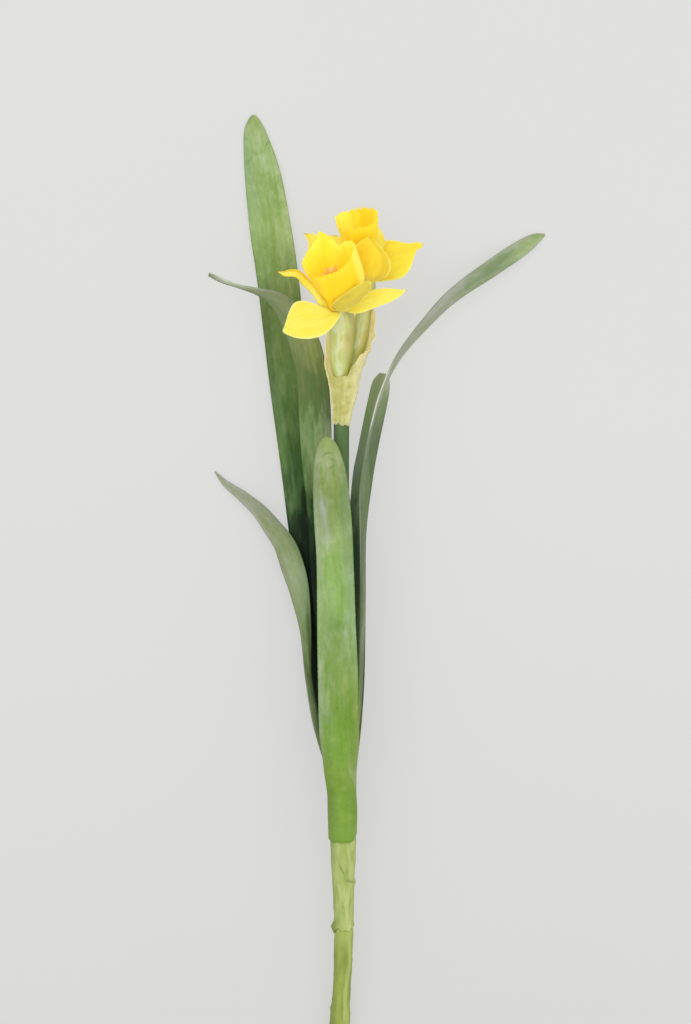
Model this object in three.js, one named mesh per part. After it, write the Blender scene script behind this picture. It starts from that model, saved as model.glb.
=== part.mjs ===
// A cut daffodil spray with two blooms on one stem and six strap leaves, lying on its back on a flat surface.
// Millimetres. Y runs up the spray from the cut end, X to the right, and Z up from the surface it lies on.
import * as THREE from "three";

const LEAF_THICKNESS = 0.6;
const PETAL_THICKNESS = 0.5;
const SPATHE_THICKNESS = 0.5;
const UPWARD = new THREE.Vector3(0, 0, 1);
const DEGREE = Math.PI / 180;

const LEAF_GREEN = 0x7d9a5c;
const OLD_LEAF_GREEN = 0x6f865a;
const GREY_LEAF_GREEN = 0x8a9c72;
const STEM_GREEN = 0x56743e;
const LOWER_STEM_GREEN = 0xa0ad5c;
const WRAP_GREEN = 0xa9b86c;
const SPATHE_STRAW = 0xbcba72;
const TUBE_STRAW = 0xcfcb92;
const PETAL_YELLOW = 0xfdea62;
const BACK_PETAL_YELLOW = 0xf8e048;
const CORONA_YELLOW = 0xfbd830;
const ANTHER_ORANGE = 0xeeb04a;

const spray = new THREE.Group();

// Every piece is one mesh with its own colour and finish.
function addPiece(name, geometry, colour, roughness) {
  const material = new THREE.MeshStandardMaterial({ color: colour, roughness, metalness: 0 });
  const piece = new THREE.Mesh(geometry, material);
  piece.name = name;
  spray.add(piece);
}

// A smooth curve through the stations, and a second one that carries three more values of each station.
function curveOf(stations, first) {
  const points = stations.map((row) => new THREE.Vector3(row[first], row[first + 1], row[first + 2]));
  return new THREE.CatmullRomCurve3(points, false, "centripetal");
}

// The frame of a flat piece at one place on its spine: along, across and out of its face.
function faceFrame(spine, share, roll) {
  const along = spine.getTangent(share);
  const face = UPWARD.clone().addScaledVector(along, -UPWARD.dot(along)).normalize();
  face.applyAxisAngle(along, roll * DEGREE);
  const across = new THREE.Vector3().crossVectors(along, face);
  return { face, across };
}

// A blade is a thin closed sheet on a spine. A station is x, y, z, width, roll, wrap: the roll turns
// the face about the spine, and the wrap is half the angle of the arc that the sheet is curved through.
// The spine lies on the sheet, or with hub 0 it is the middle of the arc.
function blade(stations, thickness, rows, columns, hub = 1) {
  const spine = curveOf(stations, 0);
  const form = curveOf(stations, 3);
  const sheet = new THREE.BoxGeometry(2, 1, thickness, columns, rows, 1);
  const place = sheet.attributes.position;
  for (let i = 0; i < place.count; i += 1) {
    const share = THREE.MathUtils.clamp(place.getY(i) + 0.5, 0, 1);
    const shape = form.getPoint(share);
    const { face, across } = faceFrame(spine, share, shape.y);
    const wrap = shape.z * DEGREE;
    const bend = Math.abs(wrap) < DEGREE ? DEGREE : wrap;
    const radius = shape.x / 2 / Math.sin(Math.min(Math.abs(bend), Math.PI / 2)) * Math.sign(bend);
    const angle = place.getX(i) * bend;
    const skin = radius + place.getZ(i);
    const point = spine.getPoint(share);
    point.addScaledVector(across, skin * Math.sin(angle));
    point.addScaledVector(face, skin * Math.cos(angle) - radius * hub);
    place.setXYZ(i, point.x, point.y, point.z);
  }
  sheet.computeVertexNormals();
  return sheet;
}

// A stalk is a round solid on a spine. A station is x, y, z, radius.
function stalk(stations, rows, sides) {
  const spine = curveOf(stations, 0);
  const girth = curveOf(stations.map((row) => [row[3], 0, 0]), 0);
  const bar = new THREE.CylinderGeometry(1, 1, 1, sides, rows);
  const place = bar.attributes.position;
  for (let i = 0; i < place.count; i += 1) {
    const share = THREE.MathUtils.clamp(place.getY(i) + 0.5, 0, 1);
    const { face, across } = faceFrame(spine, share, 0);
    const radius = girth.getPoint(share).x;
    const point = spine.getPoint(share);
    point.addScaledVector(across, place.getX(i) * radius);
    point.addScaledVector(face, place.getZ(i) * radius);
    place.setXYZ(i, point.x, point.y, point.z);
  }
  bar.computeVertexNormals();
  return bar;
}

// A sleeve is a stalk with a wall: the closed outline of the wall is turned and then bent along the spine.
// How much of the spine it reaches can differ from one share of a turn to another.
function sleeve(stations, wall, rows, sides, reachAt = () => 1) {
  const spine = curveOf(stations, 0);
  const girth = curveOf(stations.map((row) => [row[3], 0, 0]), 0);
  const outline = [];
  for (let i = 0; i <= rows; i += 1) {
    outline.push(new THREE.Vector2(1, i / rows));
  }
  for (let i = rows; i >= 0; i -= 1) {
    outline.push(new THREE.Vector2(0.5, i / rows));
  }
  outline.push(outline[0].clone());
  const ring = new THREE.LatheGeometry(outline, sides);
  const place = ring.attributes.position;
  for (let i = 0; i < place.count; i += 1) {
    const reach = Math.hypot(place.getX(i), place.getZ(i));
    const turn = (Math.atan2(place.getX(i), place.getZ(i)) / (2 * Math.PI) + 1) % 1;
    const share = THREE.MathUtils.clamp(place.getY(i) * reachAt(turn), 0, 1);
    const { face, across } = faceFrame(spine, share, 0);
    const radius = girth.getPoint(share).x - (reach < 0.75 ? wall : 0);
    const point = spine.getPoint(share);
    point.addScaledVector(across, place.getX(i) / reach * radius);
    point.addScaledVector(face, place.getZ(i) / reach * radius);
    place.setXYZ(i, point.x, point.y, point.z);
  }
  ring.computeVertexNormals();
  return ring;
}

// The frame of a flower: its axis, the direction to its right and the direction to its far side.
function flowerFrame(base, axis) {
  const out = axis.clone().normalize();
  const right = new THREE.Vector3(out.y, -out.x, 0).normalize();
  const far = new THREE.Vector3().crossVectors(out, right);
  return { base, out, right, far };
}

// A corona is a cup of thin cloth. The rim is given at equal turns from the right as radius and
// height; the wall swells between the foot and the rim, and the rim is pleated all round.
function corona(frame, cup) {
  const rim = cup.rim.map(([radius, height], i) => {
    const angle = 2 * Math.PI * i / cup.rim.length;
    return new THREE.Vector3(radius * Math.cos(angle), radius * Math.sin(angle), height);
  });
  const rimCurve = new THREE.CatmullRomCurve3(rim, true);
  const inner = 1 - cup.wallShare;
  const outer = cup.levels.map((level) => new THREE.Vector2(1, level));
  const lining = cup.levels.slice(1).map((level) => new THREE.Vector2(inner, level)).reverse();
  const outline = [new THREE.Vector2(0, 0), ...outer, ...lining];
  outline.push(new THREE.Vector2(inner, cup.floor), new THREE.Vector2(0, cup.floor));
  const shell = new THREE.LatheGeometry(outline, cup.sides);
  const place = shell.attributes.position;
  for (let i = 0; i < place.count; i += 1) {
    const level = place.getY(i);
    const reach = Math.hypot(place.getX(i), place.getZ(i));
    const turn = Math.atan2(-place.getZ(i), place.getX(i));
    const share = (turn / (2 * Math.PI) + 1) % 1;
    const edge = rimCurve.getPoint(share);
    const edgeRadius = Math.hypot(edge.x, edge.y);
    const swell = cup.belly * Math.sin(Math.PI * level);
    const side = Math.max(0, Math.cos(turn - cup.bulgeTurn * DEGREE));
    const bulge = cup.bulge * side ** 2 * Math.sin(Math.PI * Math.min(1, level * 1.15)) ** 2;
    const pleat = cup.pleat * Math.sin(turn * cup.pleats) * level ** 3;
    const wall = THREE.MathUtils.lerp(cup.foot, edgeRadius, level ** cup.flare);
    const radius = reach * (wall + swell + bulge + pleat);
    const point = frame.base.clone();
    point.addScaledVector(frame.right, radius * Math.cos(turn));
    point.addScaledVector(frame.far, radius * Math.sin(turn));
    point.addScaledVector(frame.out, level * THREE.MathUtils.lerp(cup.depth, edge.z, reach * level));
    place.setXYZ(i, point.x, point.y, point.z);
  }
  shell.computeVertexNormals();
  return shell;
}

// The cut end lies on the surface and the stem rises a little to the blooms that prop it up.
const LOWER_STEM = [
  [-2.9, 0, 5.0, 4.9], [-1.6, 28, 7.2, 5.0], [-0.75, 45, 8.5, 5.0], [-0.3, 54, 9.2, 4.8],
  [0.4, 66, 10.1, 4.4], [0.9, 77, 11.0, 4.5], [1.5, 92, 12.1, 4.3],
];
const WRAP = [
  [1.6, 92.6, 12.2, 5.3], [1.6, 96, 12.4, 4.6], [1.3, 106, 13.2, 5.0], [1.1, 115, 13.9, 5.6],
  [1.0, 125, 14.6, 6.1], [0.9, 136.5, 15.5, 6.7],
];
const WRAP_WALL = 0.6;
const SCAPE = [
  [1.6, 92.4, 12.2, 3.6], [1.1, 114, 13.9, 3.6], [0.9, 136, 15.5, 3.6], [0.7, 160, 17.4, 3.6],
  [0.3, 200, 20.5, 3.8], [0, 270, 26, 3.85], [0.1, 342, 31.6, 3.85], [0.1, 350, 32.2, 3.2],
];
addPiece("lower_stem", stalk(LOWER_STEM, 9, 14), LOWER_STEM_GREEN, 0.6);
addPiece("stem_wrap", sleeve(WRAP, WRAP_WALL, 5, 16), WRAP_GREEN, 0.8);
addPiece("scape", stalk(SCAPE, 9, 12), STEM_GREEN, 0.5);

// Six leaves rise from inside the sleeve that the foot of the front leaf makes.
const FRONT_LEAF = [
  [1.0, 138, 22.2, 13.0, 0, 174], [0.9, 150, 23.3, 13.4, 0, 170], [0.5, 160, 24.6, 14.2, 0, 148],
  [-0.3, 171, 26.6, 16.2, 0, 104], [-0.8, 186, 29.4, 19.4, 0, 66], [-1.2, 203, 30.9, 19.8, 0, 48],
  [-1.8, 228, 32.6, 19.7, 0, 38], [-2.4, 249, 34.2, 19.0, 0, 34], [-3.0, 277, 36.2, 18.3, 0, 30],
  [-4.2, 298, 38.2, 18.6, 0, 28], [-5.5, 317.5, 40.6, 17.0, 0, 24], [-6.4, 330, 42.4, 12.0, 0, 20],
  [-7.5, 338, 43.6, 3.0, 0, 10],
];
const TALL_LEAF = [
  [0.9, 150, 12.4, 2.6, 0, 5], [0.4, 160, 12.4, 3.4, 0, 8], [-1.5, 175, 10.8, 8, 0, 14],
  [-7, 215, 9.0, 14, 0, 18], [-12, 250, 8.0, 17, 0, 18], [-16.5, 290, 7.0, 19, 0, 18],
  [-21, 330, 6.0, 20, 0, 18], [-25.5, 365, 5.2, 20.5, 0, 18], [-29.3, 397, 4.6, 20.5, 0, 18],
  [-32.4, 423, 4.2, 20.8, 0, 18], [-35.3, 442.5, 3.8, 20.7, 0, 18], [-39.4, 470.5, 3.0, 17.9, 0, 16],
  [-43.1, 490, 1.8, 11.8, 0, 10], [-43.5, 499.8, 1.0, 2.5, 0, 5],
];
const BENT_LEAF = [
  [-3.4, 156, 14.2, 2.0, -50, 5], [-4.6, 180, 14.6, 5, -14, 10], [-6, 215, 15.4, 9, 0, 16],
  [-8, 250, 16, 11.5, 0, 18], [-10, 300, 17, 14, 0, 18], [-12.3, 332, 18, 15.5, 0, 18],
  [-13.9, 362, 19.5, 16, 0, 18], [-17.3, 382, 22, 15.5, 0, 18], [-23.5, 397, 24.5, 13.5, 0, 16],
  [-31.5, 406.5, 25.5, 9.5, -14, 12], [-41, 410.9, 25, 4.8, -40, 8], [-52.5, 414.2, 23.5, 3.8, -62, 8],
  [-60, 417.0, 22.5, 3.0, -46, 8], [-66.5, 420, 22, 1.4, -30, 5],
];
const LOW_LEFT_LEAF = [
  [-4.4, 158, 18.0, 2.2, -80, 5], [-6.2, 170, 18.2, 3.6, -78, 8], [-9.6, 182, 16.9, 5, -66, 12],
  [-12.8, 196, 17.0, 6.6, -56, 16], [-16.0, 218, 16.6, 8, -52, 18], [-18.7, 241, 15.4, 9.5, -46, 20],
  [-21, 260, 13.6, 11, -30, 20], [-24, 272, 12.2, 12, -16, 18], [-28.2, 284.3, 10.4, 10.8, 0, 16],
  [-35, 294, 8.2, 9.2, 0, 14], [-41.3, 301.8, 6.0, 7.4, 0, 10], [-50, 309.3, 3.6, 5.4, 0, 8],
  [-58, 315.4, 1.7, 3.4, 0, 5], [-63.3, 321.3, 0.7, 1.6, 0, 5],
];
const LONG_RIGHT_LEAF = [
  [5.2, 158, 18.4, 2.2, 80, 5], [6.2, 172, 18.8, 3.8, 80, 8], [7.6, 186, 19.2, 5.4, 78, 8],
  [9.3, 202, 21.2, 6.6, 76, 10], [10.4, 226, 23.4, 7.8, 74, 12], [11.1, 250, 24.6, 8.6, 74, 12],
  [11.4, 285, 25.6, 9, 72, 12], [12.5, 312, 26.2, 9, 52, 12], [13.1, 331, 26.4, 9, 76, 12],
  [15.3, 346, 26.4, 9, 84, 12], [19.4, 361, 25.6, 8.6, 82, 12], [28.8, 378, 23, 8.2, 72, 12],
  [42, 394.5, 18.5, 8, 54, 12], [56.7, 409.7, 12.8, 8.4, 36, 12], [77.4, 424.6, 6.2, 8.8, 12, 10],
  [90.3, 433.3, 2.8, 8.2, 0, 8], [97.5, 438, 1.3, 5.6, 0, 5], [102.3, 440.2, 0.8, 1.6, 0, 5],
];
const SHORT_RIGHT_LEAF = [
  [3.3, 162, 13.2, 2.0, 34, 5], [4.4, 172, 12.4, 3.6, 24, 8], [6.2, 184, 12.0, 6, 14, 10],
  [7.6, 215, 12.2, 8, 6, 16], [8.2, 255, 12.6, 9, 0, 18], [9.0, 290, 13.4, 10.5, 0, 18],
  [11.2, 317, 14.2, 11, 0, 18], [13.9, 332, 14.8, 10.9, 0, 18], [16.1, 345, 15.4, 10.2, 0, 18],
  [18.5, 357, 16, 9.8, 0, 16], [20.2, 366, 16.6, 8.5, 0, 12], [20.8, 370.5, 16.9, 4, 0, 8],
];
addPiece("front_leaf", blade(FRONT_LEAF, LEAF_THICKNESS, 20, 10), LEAF_GREEN, 0.6);
addPiece("tall_leaf", blade(TALL_LEAF, LEAF_THICKNESS, 18, 4), LEAF_GREEN, 0.6);
addPiece("bent_leaf", blade(BENT_LEAF, LEAF_THICKNESS, 24, 4), OLD_LEAF_GREEN, 0.6);
addPiece("low_left_leaf", blade(LOW_LEFT_LEAF, LEAF_THICKNESS, 18, 4), GREY_LEAF_GREEN, 0.6);
addPiece("long_right_leaf", blade(LONG_RIGHT_LEAF, LEAF_THICKNESS, 24, 4), GREY_LEAF_GREEN, 0.6);
addPiece("short_right_leaf", blade(SHORT_RIGHT_LEAF, LEAF_THICKNESS, 16, 4), OLD_LEAF_GREEN, 0.6);

// The papery spathe is a sheath round the top of the scape. Its upper edge, given at equal turns from
// the front round to the right, is low at the front, where the two flower tubes come out, and high behind.
const SPATHE = [
  [0.2, 344.6, 31.8, 4.4], [0.9, 352, 32.2, 5.1], [1.4, 359.4, 32.4, 6.3], [1.5, 366.9, 32.4, 7.6],
  [1.4, 374.3, 32.3, 9.3], [2.8, 381.7, 32, 10.6], [4.4, 389.2, 31.5, 11.7], [5.4, 396.6, 31.2, 11.9],
  [5.5, 404, 31.2, 11.6],
];
const SPATHE_EDGE = [
  368.4, 369.1, 374, 380.4, 382.6, 385.1, 391, 400, 403, 403.5, 404, 404,
  404, 403.8, 403.5, 402.2, 401, 396, 384, 377.5, 375.5, 369.6, 367.9, 368.1,
];
const spatheEdge = curveOf([...SPATHE_EDGE, SPATHE_EDGE[0]].map((height) => [height, 0, 0]), 0);
const SPATHE_FOOT = SPATHE[0][1];
const SPATHE_TOP = SPATHE[SPATHE.length - 1][1];
function spatheReach(turn) {
  return (spatheEdge.getPoint(turn).x - SPATHE_FOOT) / (SPATHE_TOP - SPATHE_FOOT);
}
addPiece("spathe", sleeve(SPATHE, SPATHE_THICKNESS, 12, 24, spatheReach), SPATHE_STRAW, 0.85);

// Each bloom stands on a green ovary and a straw-coloured tube.
const FRONT_TUBE = [
  [-0.9, 350.6, 33.4, 1.3], [-0.4, 362, 34.2, 1.9], [-0.1, 368, 34.9, 3.7], [-0.2, 378, 36.6, 5.4],
  [-0.1, 386, 38.2, 5.8], [-0.5, 393, 40, 5.8], [-1.8, 398.6, 43, 5.4], [-3.05, 403.8, 46.96, 5.0],
];
const BACK_TUBE = [
  [1.9, 350.9, 31.2, 1.1], [3.4, 362, 29.6, 1.6], [4.9, 371, 28.8, 2.6], [6.4, 379, 28.2, 3.3],
  [8.9, 388, 27.6, 3.4], [10.7, 398, 27.2, 2.9], [12.6, 406.5, 27.0, 2.9],
  [13.85, 413.05, 28.6, 3.3], [13.06, 417.18, 30.54, 4.0],
];
addPiece("front_flower_tube", stalk(FRONT_TUBE, 10, 14), TUBE_STRAW, 0.6);
addPiece("back_flower_tube", stalk(BACK_TUBE, 10, 12), TUBE_STRAW, 0.6);

// The coronas: the front one looks up and out of the spray, the back one nearly along it.
const FRONT_FLOWER = flowerFrame(new THREE.Vector3(-3.1, 404.1, 47.2), new THREE.Vector3(-0.13, 0.77, 0.62));
const BACK_FLOWER = flowerFrame(new THREE.Vector3(13, 417.5, 30.7), new THREE.Vector3(-0.17, 0.89, 0.42));
const LEVELS = [0, 0.12, 0.3, 0.5, 0.7, 0.86, 1];
const FRONT_CUP = {
  rim: [
    [14.7, 34.5], [13.7, 35], [11.6, 33.8], [10, 31.7], [10.9, 32.1], [12.9, 33.2], [15.8, 34.2],
    [16.2, 33.4], [14.3, 31.5], [12.2, 29.9], [12.2, 28.8], [12.5, 28], [12.6, 27.4], [12.6, 26.7],
    [12, 26.1], [11.2, 26], [10.6, 26.1], [10, 26.5], [9.6, 26.8], [9.9, 27.6], [11.2, 28.9],
    [12.8, 30.7], [13.5, 32.5], [13.9, 33.7],
  ],
  levels: LEVELS, depth: 31, wallShare: 0.05, floor: 0.03, sides: 48, foot: 5.1,
  belly: 0.2, bulge: 8, bulgeTurn: -4, flare: 1.6, pleat: 0.2, pleats: 9,
};
const BACK_CUP = {
  rim: [
    [11.1, 33.8], [11.3, 34], [10.7, 34], [9.9, 34.2], [9, 34.3], [8.6, 34], [8.8, 34.3], [9.2, 34.3],
    [10, 34], [11.6, 33.8], [11.2, 33.3], [10.2, 32.9], [9.4, 32.5], [9.5, 32.3], [9.9, 32.2],
    [10.4, 32], [10.8, 32], [10.9, 32], [10.6, 32.1], [10.4, 32.5], [11.4, 32.5], [12.2, 33],
    [11.7, 33.3], [11, 33.5],
  ],
  levels: LEVELS, depth: 33, wallShare: 0.06, floor: 0.03, sides: 48, foot: 5.2,
  belly: 0.8, bulge: 0, bulgeTurn: 0, flare: 1.6, pleat: 0.3, pleats: 12,
};
addPiece("front_corona", corona(FRONT_FLOWER, FRONT_CUP), CORONA_YELLOW, 0.65);
addPiece("back_corona", corona(BACK_FLOWER, BACK_CUP), CORONA_YELLOW, 0.65);

// A place inside a flower, from how far right, how far to the far side and how far out it is.
function inFlower(frame, right, far, out) {
  return frame.base.clone().addScaledVector(frame.right, right).addScaledVector(frame.far, far)
    .addScaledVector(frame.out, out);
}

// The tepals: six round each corona, none of them alike. Each starts beside the foot of its corona, at
// the first angle and the second angle to either side of it. A row is x, y, z of one edge, x, y, z of
// the other edge, and how far the cloth bellies out between the two.
const FOOT_HEIGHT = -0.1;
const PETAL_ROWS = 12;
const PETAL_COLUMNS = 4;
function addTepal(frame, ring, name, turn, spread, rails, colour) {
  const feet = [turn + spread, turn - spread].map((degrees) => {
    const angle = degrees * DEGREE;
    return inFlower(frame, ring * Math.cos(angle), ring * Math.sin(angle), FOOT_HEIGHT);
  });
  const rows = [[...feet[0].toArray(), ...feet[1].toArray(), 0], ...rails];
  const edge = curveOf(rows, 0);
  const otherEdge = curveOf(rows, 3);
  const belly = curveOf(rows.map((row) => [row[6], 0, 0]), 0);
  const sheet = new THREE.BoxGeometry(2, 1, PETAL_THICKNESS, PETAL_COLUMNS, PETAL_ROWS, 1);
  const place = sheet.attributes.position;
  for (let i = 0; i < place.count; i += 1) {
    const share = THREE.MathUtils.clamp(place.getY(i) + 0.5, 0, 1);
    const across = place.getX(i);
    const side = otherEdge.getPoint(share).sub(edge.getPoint(share));
    const growth = edge.getTangent(share).add(otherEdge.getTangent(share)).normalize();
    const face = new THREE.Vector3().crossVectors(growth, side).normalize();
    const point = edge.getPoint(share).addScaledVector(side, (across + 1) / 2);
    point.addScaledVector(face, belly.getPoint(share).x * (1 - across ** 2) - place.getZ(i));
    place.setXYZ(i, point.x, point.y, point.z);
  }
  sheet.computeVertexNormals();
  addPiece(name, sheet, colour, 0.65);
}
const FRONT_RING = 5.7;
const FRONT_TEPALS = {
  front_tepal_left_front: [246, -21, [
    [-7.2, 402.2, 52.4, -0.4, 399.6, 53.2, -0.3], [-9.6, 403.2, 53.6, -1.6, 396.8, 55, -0.9],
    [-12.2, 404.6, 55, -4.2, 393.2, 57.2, -1.4], [-15.7, 405.9, 57, -8, 389.8, 59, -1.8],
    [-20, 406.3, 59.4, -12, 388, 60.8, -2], [-23.6, 404.8, 61.8, -16.5, 387.3, 62.2, -1.6],
    [-26, 400.2, 63.6, -22, 387.7, 63.8, -1], [-27.6, 395.2, 65, -26.4, 389.2, 65.4, -0.4],
    [-29.1, 391.3, 66, -28.9, 390.6, 66, 0],
  ]],
  front_tepal_right: [336, 18, [
    [4.4, 405.4, 49.2, 3, 400.9, 51.6, -0.5], [8, 407.4, 49.2, 6.4, 400, 53, -1],
    [11.6, 409.6, 49.6, 10.2, 400.2, 54, -1.3], [15.2, 411.3, 50.2, 14, 401.5, 54.8, -1.4],
    [18.6, 412.3, 50.8, 18, 403.1, 55.2, -1.4], [22.4, 412.6, 51.8, 21.6, 404.4, 55.6, -1.2],
    [27, 412.2, 53, 25.5, 406, 55.8, -0.8], [30.3, 412, 54, 29.6, 408.8, 55.8, -0.4],
    [32.7, 411.9, 55, 32.6, 411.4, 55, 0],
  ]],
  front_tepal_left: [206, 14, [
    [-7, 404.8, 55.2, -10.2, 403.4, 51.8, -0.3], [-8.8, 407.3, 56.8, -11.8, 405.4, 53, -0.4],
    [-10.7, 409.9, 57.8, -13.7, 408.3, 54.8, -0.6], [-12.8, 413.2, 58.9, -16.5, 411.5, 57.4, -0.8],
    [-15.7, 416.8, 59.8, -19.5, 414.5, 60.2, -0.8], [-18.6, 419.8, 60.4, -21.7, 417.5, 62.2, -0.6],
    [-21.5, 421.7, 61.6, -24.5, 418.3, 63.8, -0.4], [-25, 421.8, 63.2, -28.3, 418.5, 65, -0.2],
    [-28.2, 421, 64.6, -30, 419.6, 65.2, 0], [-31.3, 420.8, 65.6, -31.3, 420.3, 65.6, 0],
  ]],
  front_tepal_right_front: [298, -17, [
    [-4.9, 403.6, 56, 0.2, 400.6, 54.8, -0.2], [-3.6, 405.6, 58.4, 2.2, 401, 56.6, -0.7],
    [-0.8, 408, 61.4, 4.4, 402.2, 58.8, -1], [3, 410.7, 64.4, 6.8, 403.9, 60.8, -1.2],
    [6.5, 413, 66.4, 9.6, 406.1, 62.6, -1.2], [10, 414.7, 67.6, 12.4, 408.9, 64.2, -1],
    [13.2, 415.9, 68.4, 14.5, 411.8, 65.8, -0.6], [15.3, 415, 68.4, 15.5, 414.2, 68.2, 0],
  ]],
  front_tepal_left_back: [128, 14, [
    [-12, 414.5, 40, -6.8, 415, 39.8, -0.4], [-16.2, 423, 39.2, -7.6, 424, 38.4, -0.8],
    [-16.6, 431, 39.6, -8.6, 432, 39.2, -0.8], [-16.4, 435.6, 40.8, -10.5, 437.6, 40.6, -0.6],
    [-17.2, 437.6, 41.6, -13.5, 439.9, 41.2, -0.4], [-18, 439, 42.2, -16.2, 440.1, 42, -0.1],
    [-18.6, 439.9, 42.4, -18.2, 440.1, 42.4, 0],
  ]],
  front_tepal_right_back: [72, 14, [
    [-5.2, 417.4, 39.6, 2.4, 417, 40.4, -0.4], [-6, 426, 39.6, 2.6, 426, 42, -0.6],
    [-7, 433, 41.2, 2, 433, 44, -0.6], [-7.4, 437, 42.6, 1.4, 436.4, 44.6, -0.4],
    [-6.9, 438.8, 43.2, -0.6, 438.3, 44.4, -0.2], [-4.8, 439.2, 43.8, -4.2, 439.2, 43.8, 0],
  ]],
};
const BACK_RING = 5.75;
const BACK_TEPALS = {
  back_tepal_front: [272, -22, [
    [7.4, 419.4, 42, 19.2, 417, 40.6, -1.2], [5.2, 424, 46.4, 23, 418.8, 43.6, -2.4],
    [5.2, 429.4, 50, 24.8, 422.6, 46.2, -2.6], [6.8, 433.2, 52.4, 23.9, 427.4, 48.6, -2],
    [9.2, 435.6, 53.6, 20.8, 431.8, 50.8, -1.2], [11.6, 437.2, 54.2, 17, 435.2, 52.8, -0.5],
    [13.5, 438.1, 54.4, 14, 437.9, 54.4, 0],
  ]],
  back_tepal_right: [338, 22, [
    [20, 423.4, 30.8, 19.2, 415.9, 33.4, -0.4], [20.6, 428, 31, 21.8, 416.4, 33.2, -0.8], [21.2, 432.8, 31.6, 26.2, 416.9, 34, -1.4],
    [22.6, 436.6, 32.2, 30.6, 418.2, 34.6, -1.6], [26.6, 436.7, 33, 33.6, 421, 34.8, -1.6],
    [31, 435.7, 33.8, 35.4, 424.8, 35, -1.2], [34.8, 435.3, 34.4, 36.6, 428.8, 35.2, -0.6],
    [38.2, 435.8, 35, 38, 432.1, 35.4, -0.3], [40, 435.5, 35.4, 40.1, 433, 35.5, 0],
    [40.9, 434.7, 35.5, 40.9, 434.2, 35.5, 0],
  ]],
  back_tepal_right_back: [42, 18, [
    [14, 428, 20.6, 21.4, 427.5, 24, -0.8], [12.6, 435, 18.6, 22.4, 434, 21.6, -1],
    [12.4, 441, 18, 21.6, 438.6, 20.4, -0.8], [13.4, 444.6, 18, 19.4, 442.8, 19.2, -0.4],
    [16.6, 445.8, 18.6, 17.6, 445.4, 18.6, 0],
  ]],
  back_tepal_below: [98, 16, [
    [6.2, 424, 16.8, 16.2, 425, 16.8, -0.6], [3.4, 429.6, 9.8, 15.6, 430.6, 9.6, -0.8],
    [3.6, 435.2, 4.4, 11.6, 435.8, 4, -0.4], [6.2, 438.4, 0.9, 7, 438.6, 0.9, 0],
  ]],
  back_tepal_left_back: [150, 16, [
    [0.8, 416.8, 24, 3.2, 425.4, 22.4, -0.6], [-6.4, 419.8, 22.4, -3.4, 431.2, 20.6, -1],
    [-12.2, 425, 20, -9.4, 432.4, 18.8, -0.6], [-14.8, 430.6, 18, -14.6, 431.4, 18, 0],
  ]],
  back_tepal_left_front: [194, 14, [
    [1.2, 416.1, 33.4, 2.4, 421, 32, -0.4], [-7.2, 420, 31.2, -2.8, 426.6, 30.6, -0.8],
    [-11.4, 427.8, 28.4, -7.2, 431.2, 28.2, -0.4], [-12.9, 433.7, 27.8, -12.3, 434.3, 27.8, 0],
  ]],
};
Object.entries(FRONT_TEPALS).forEach(([name, [turn, spread, rails]]) => {
  addTepal(FRONT_FLOWER, FRONT_RING, name, turn, spread, rails, PETAL_YELLOW);
});
Object.entries(BACK_TEPALS).forEach(([name, [turn, spread, rails]]) => {
  addTepal(BACK_FLOWER, BACK_RING, name, turn, spread, rails, BACK_PETAL_YELLOW);
});

// Six stamens stand round one pistil in each throat; the stigma is wider than the style.
const STAMEN_COUNT = 6;
const STAMEN_RING = 2.4;
const PISTIL = [[0, 1.3, 0.6], [0, 12, 0.6], [0, 17, 0.7], [0, 18.5, 1.5], [0, 20, 1.0]];
const STAMEN = [[0, 1.3, 0.4], [0.5, 8, 0.4], [0.6, 9.6, 0.8], [0.6, 14, 0.8], [0.6, 15.4, 0.3]];
function heart(frame, prefix) {
  const along = (stations, turn, ring) => stations.map(([spread, height, radius]) => {
    const reach = ring + spread;
    const point = inFlower(frame, reach * Math.cos(turn), reach * Math.sin(turn), height);
    return [point.x, point.y, point.z, radius];
  });
  addPiece(`${prefix}_pistil`, stalk(along(PISTIL, 0, 0), 6, 7), ANTHER_ORANGE, 0.7);
  for (let i = 0; i < STAMEN_COUNT; i += 1) {
    const turn = 2 * Math.PI * i / STAMEN_COUNT;
    addPiece(`${prefix}_stamen_${i + 1}`, stalk(along(STAMEN, turn, STAMEN_RING), 4, 6), ANTHER_ORANGE, 0.7);
  }
}
heart(FRONT_FLOWER, "front");
heart(BACK_FLOWER, "back");

// The middle of the underside of the whole spray is put at the origin.
const bounds = new THREE.Box3().setFromObject(spray);
const middle = bounds.getCenter(new THREE.Vector3());
spray.children.forEach((piece) => {
  piece.geometry.translate(-middle.x, -middle.y, -bounds.min.z);
});

export default spray;
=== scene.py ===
import math

import bmesh
import bpy
from mathutils import Matrix, Vector, noise


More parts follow.
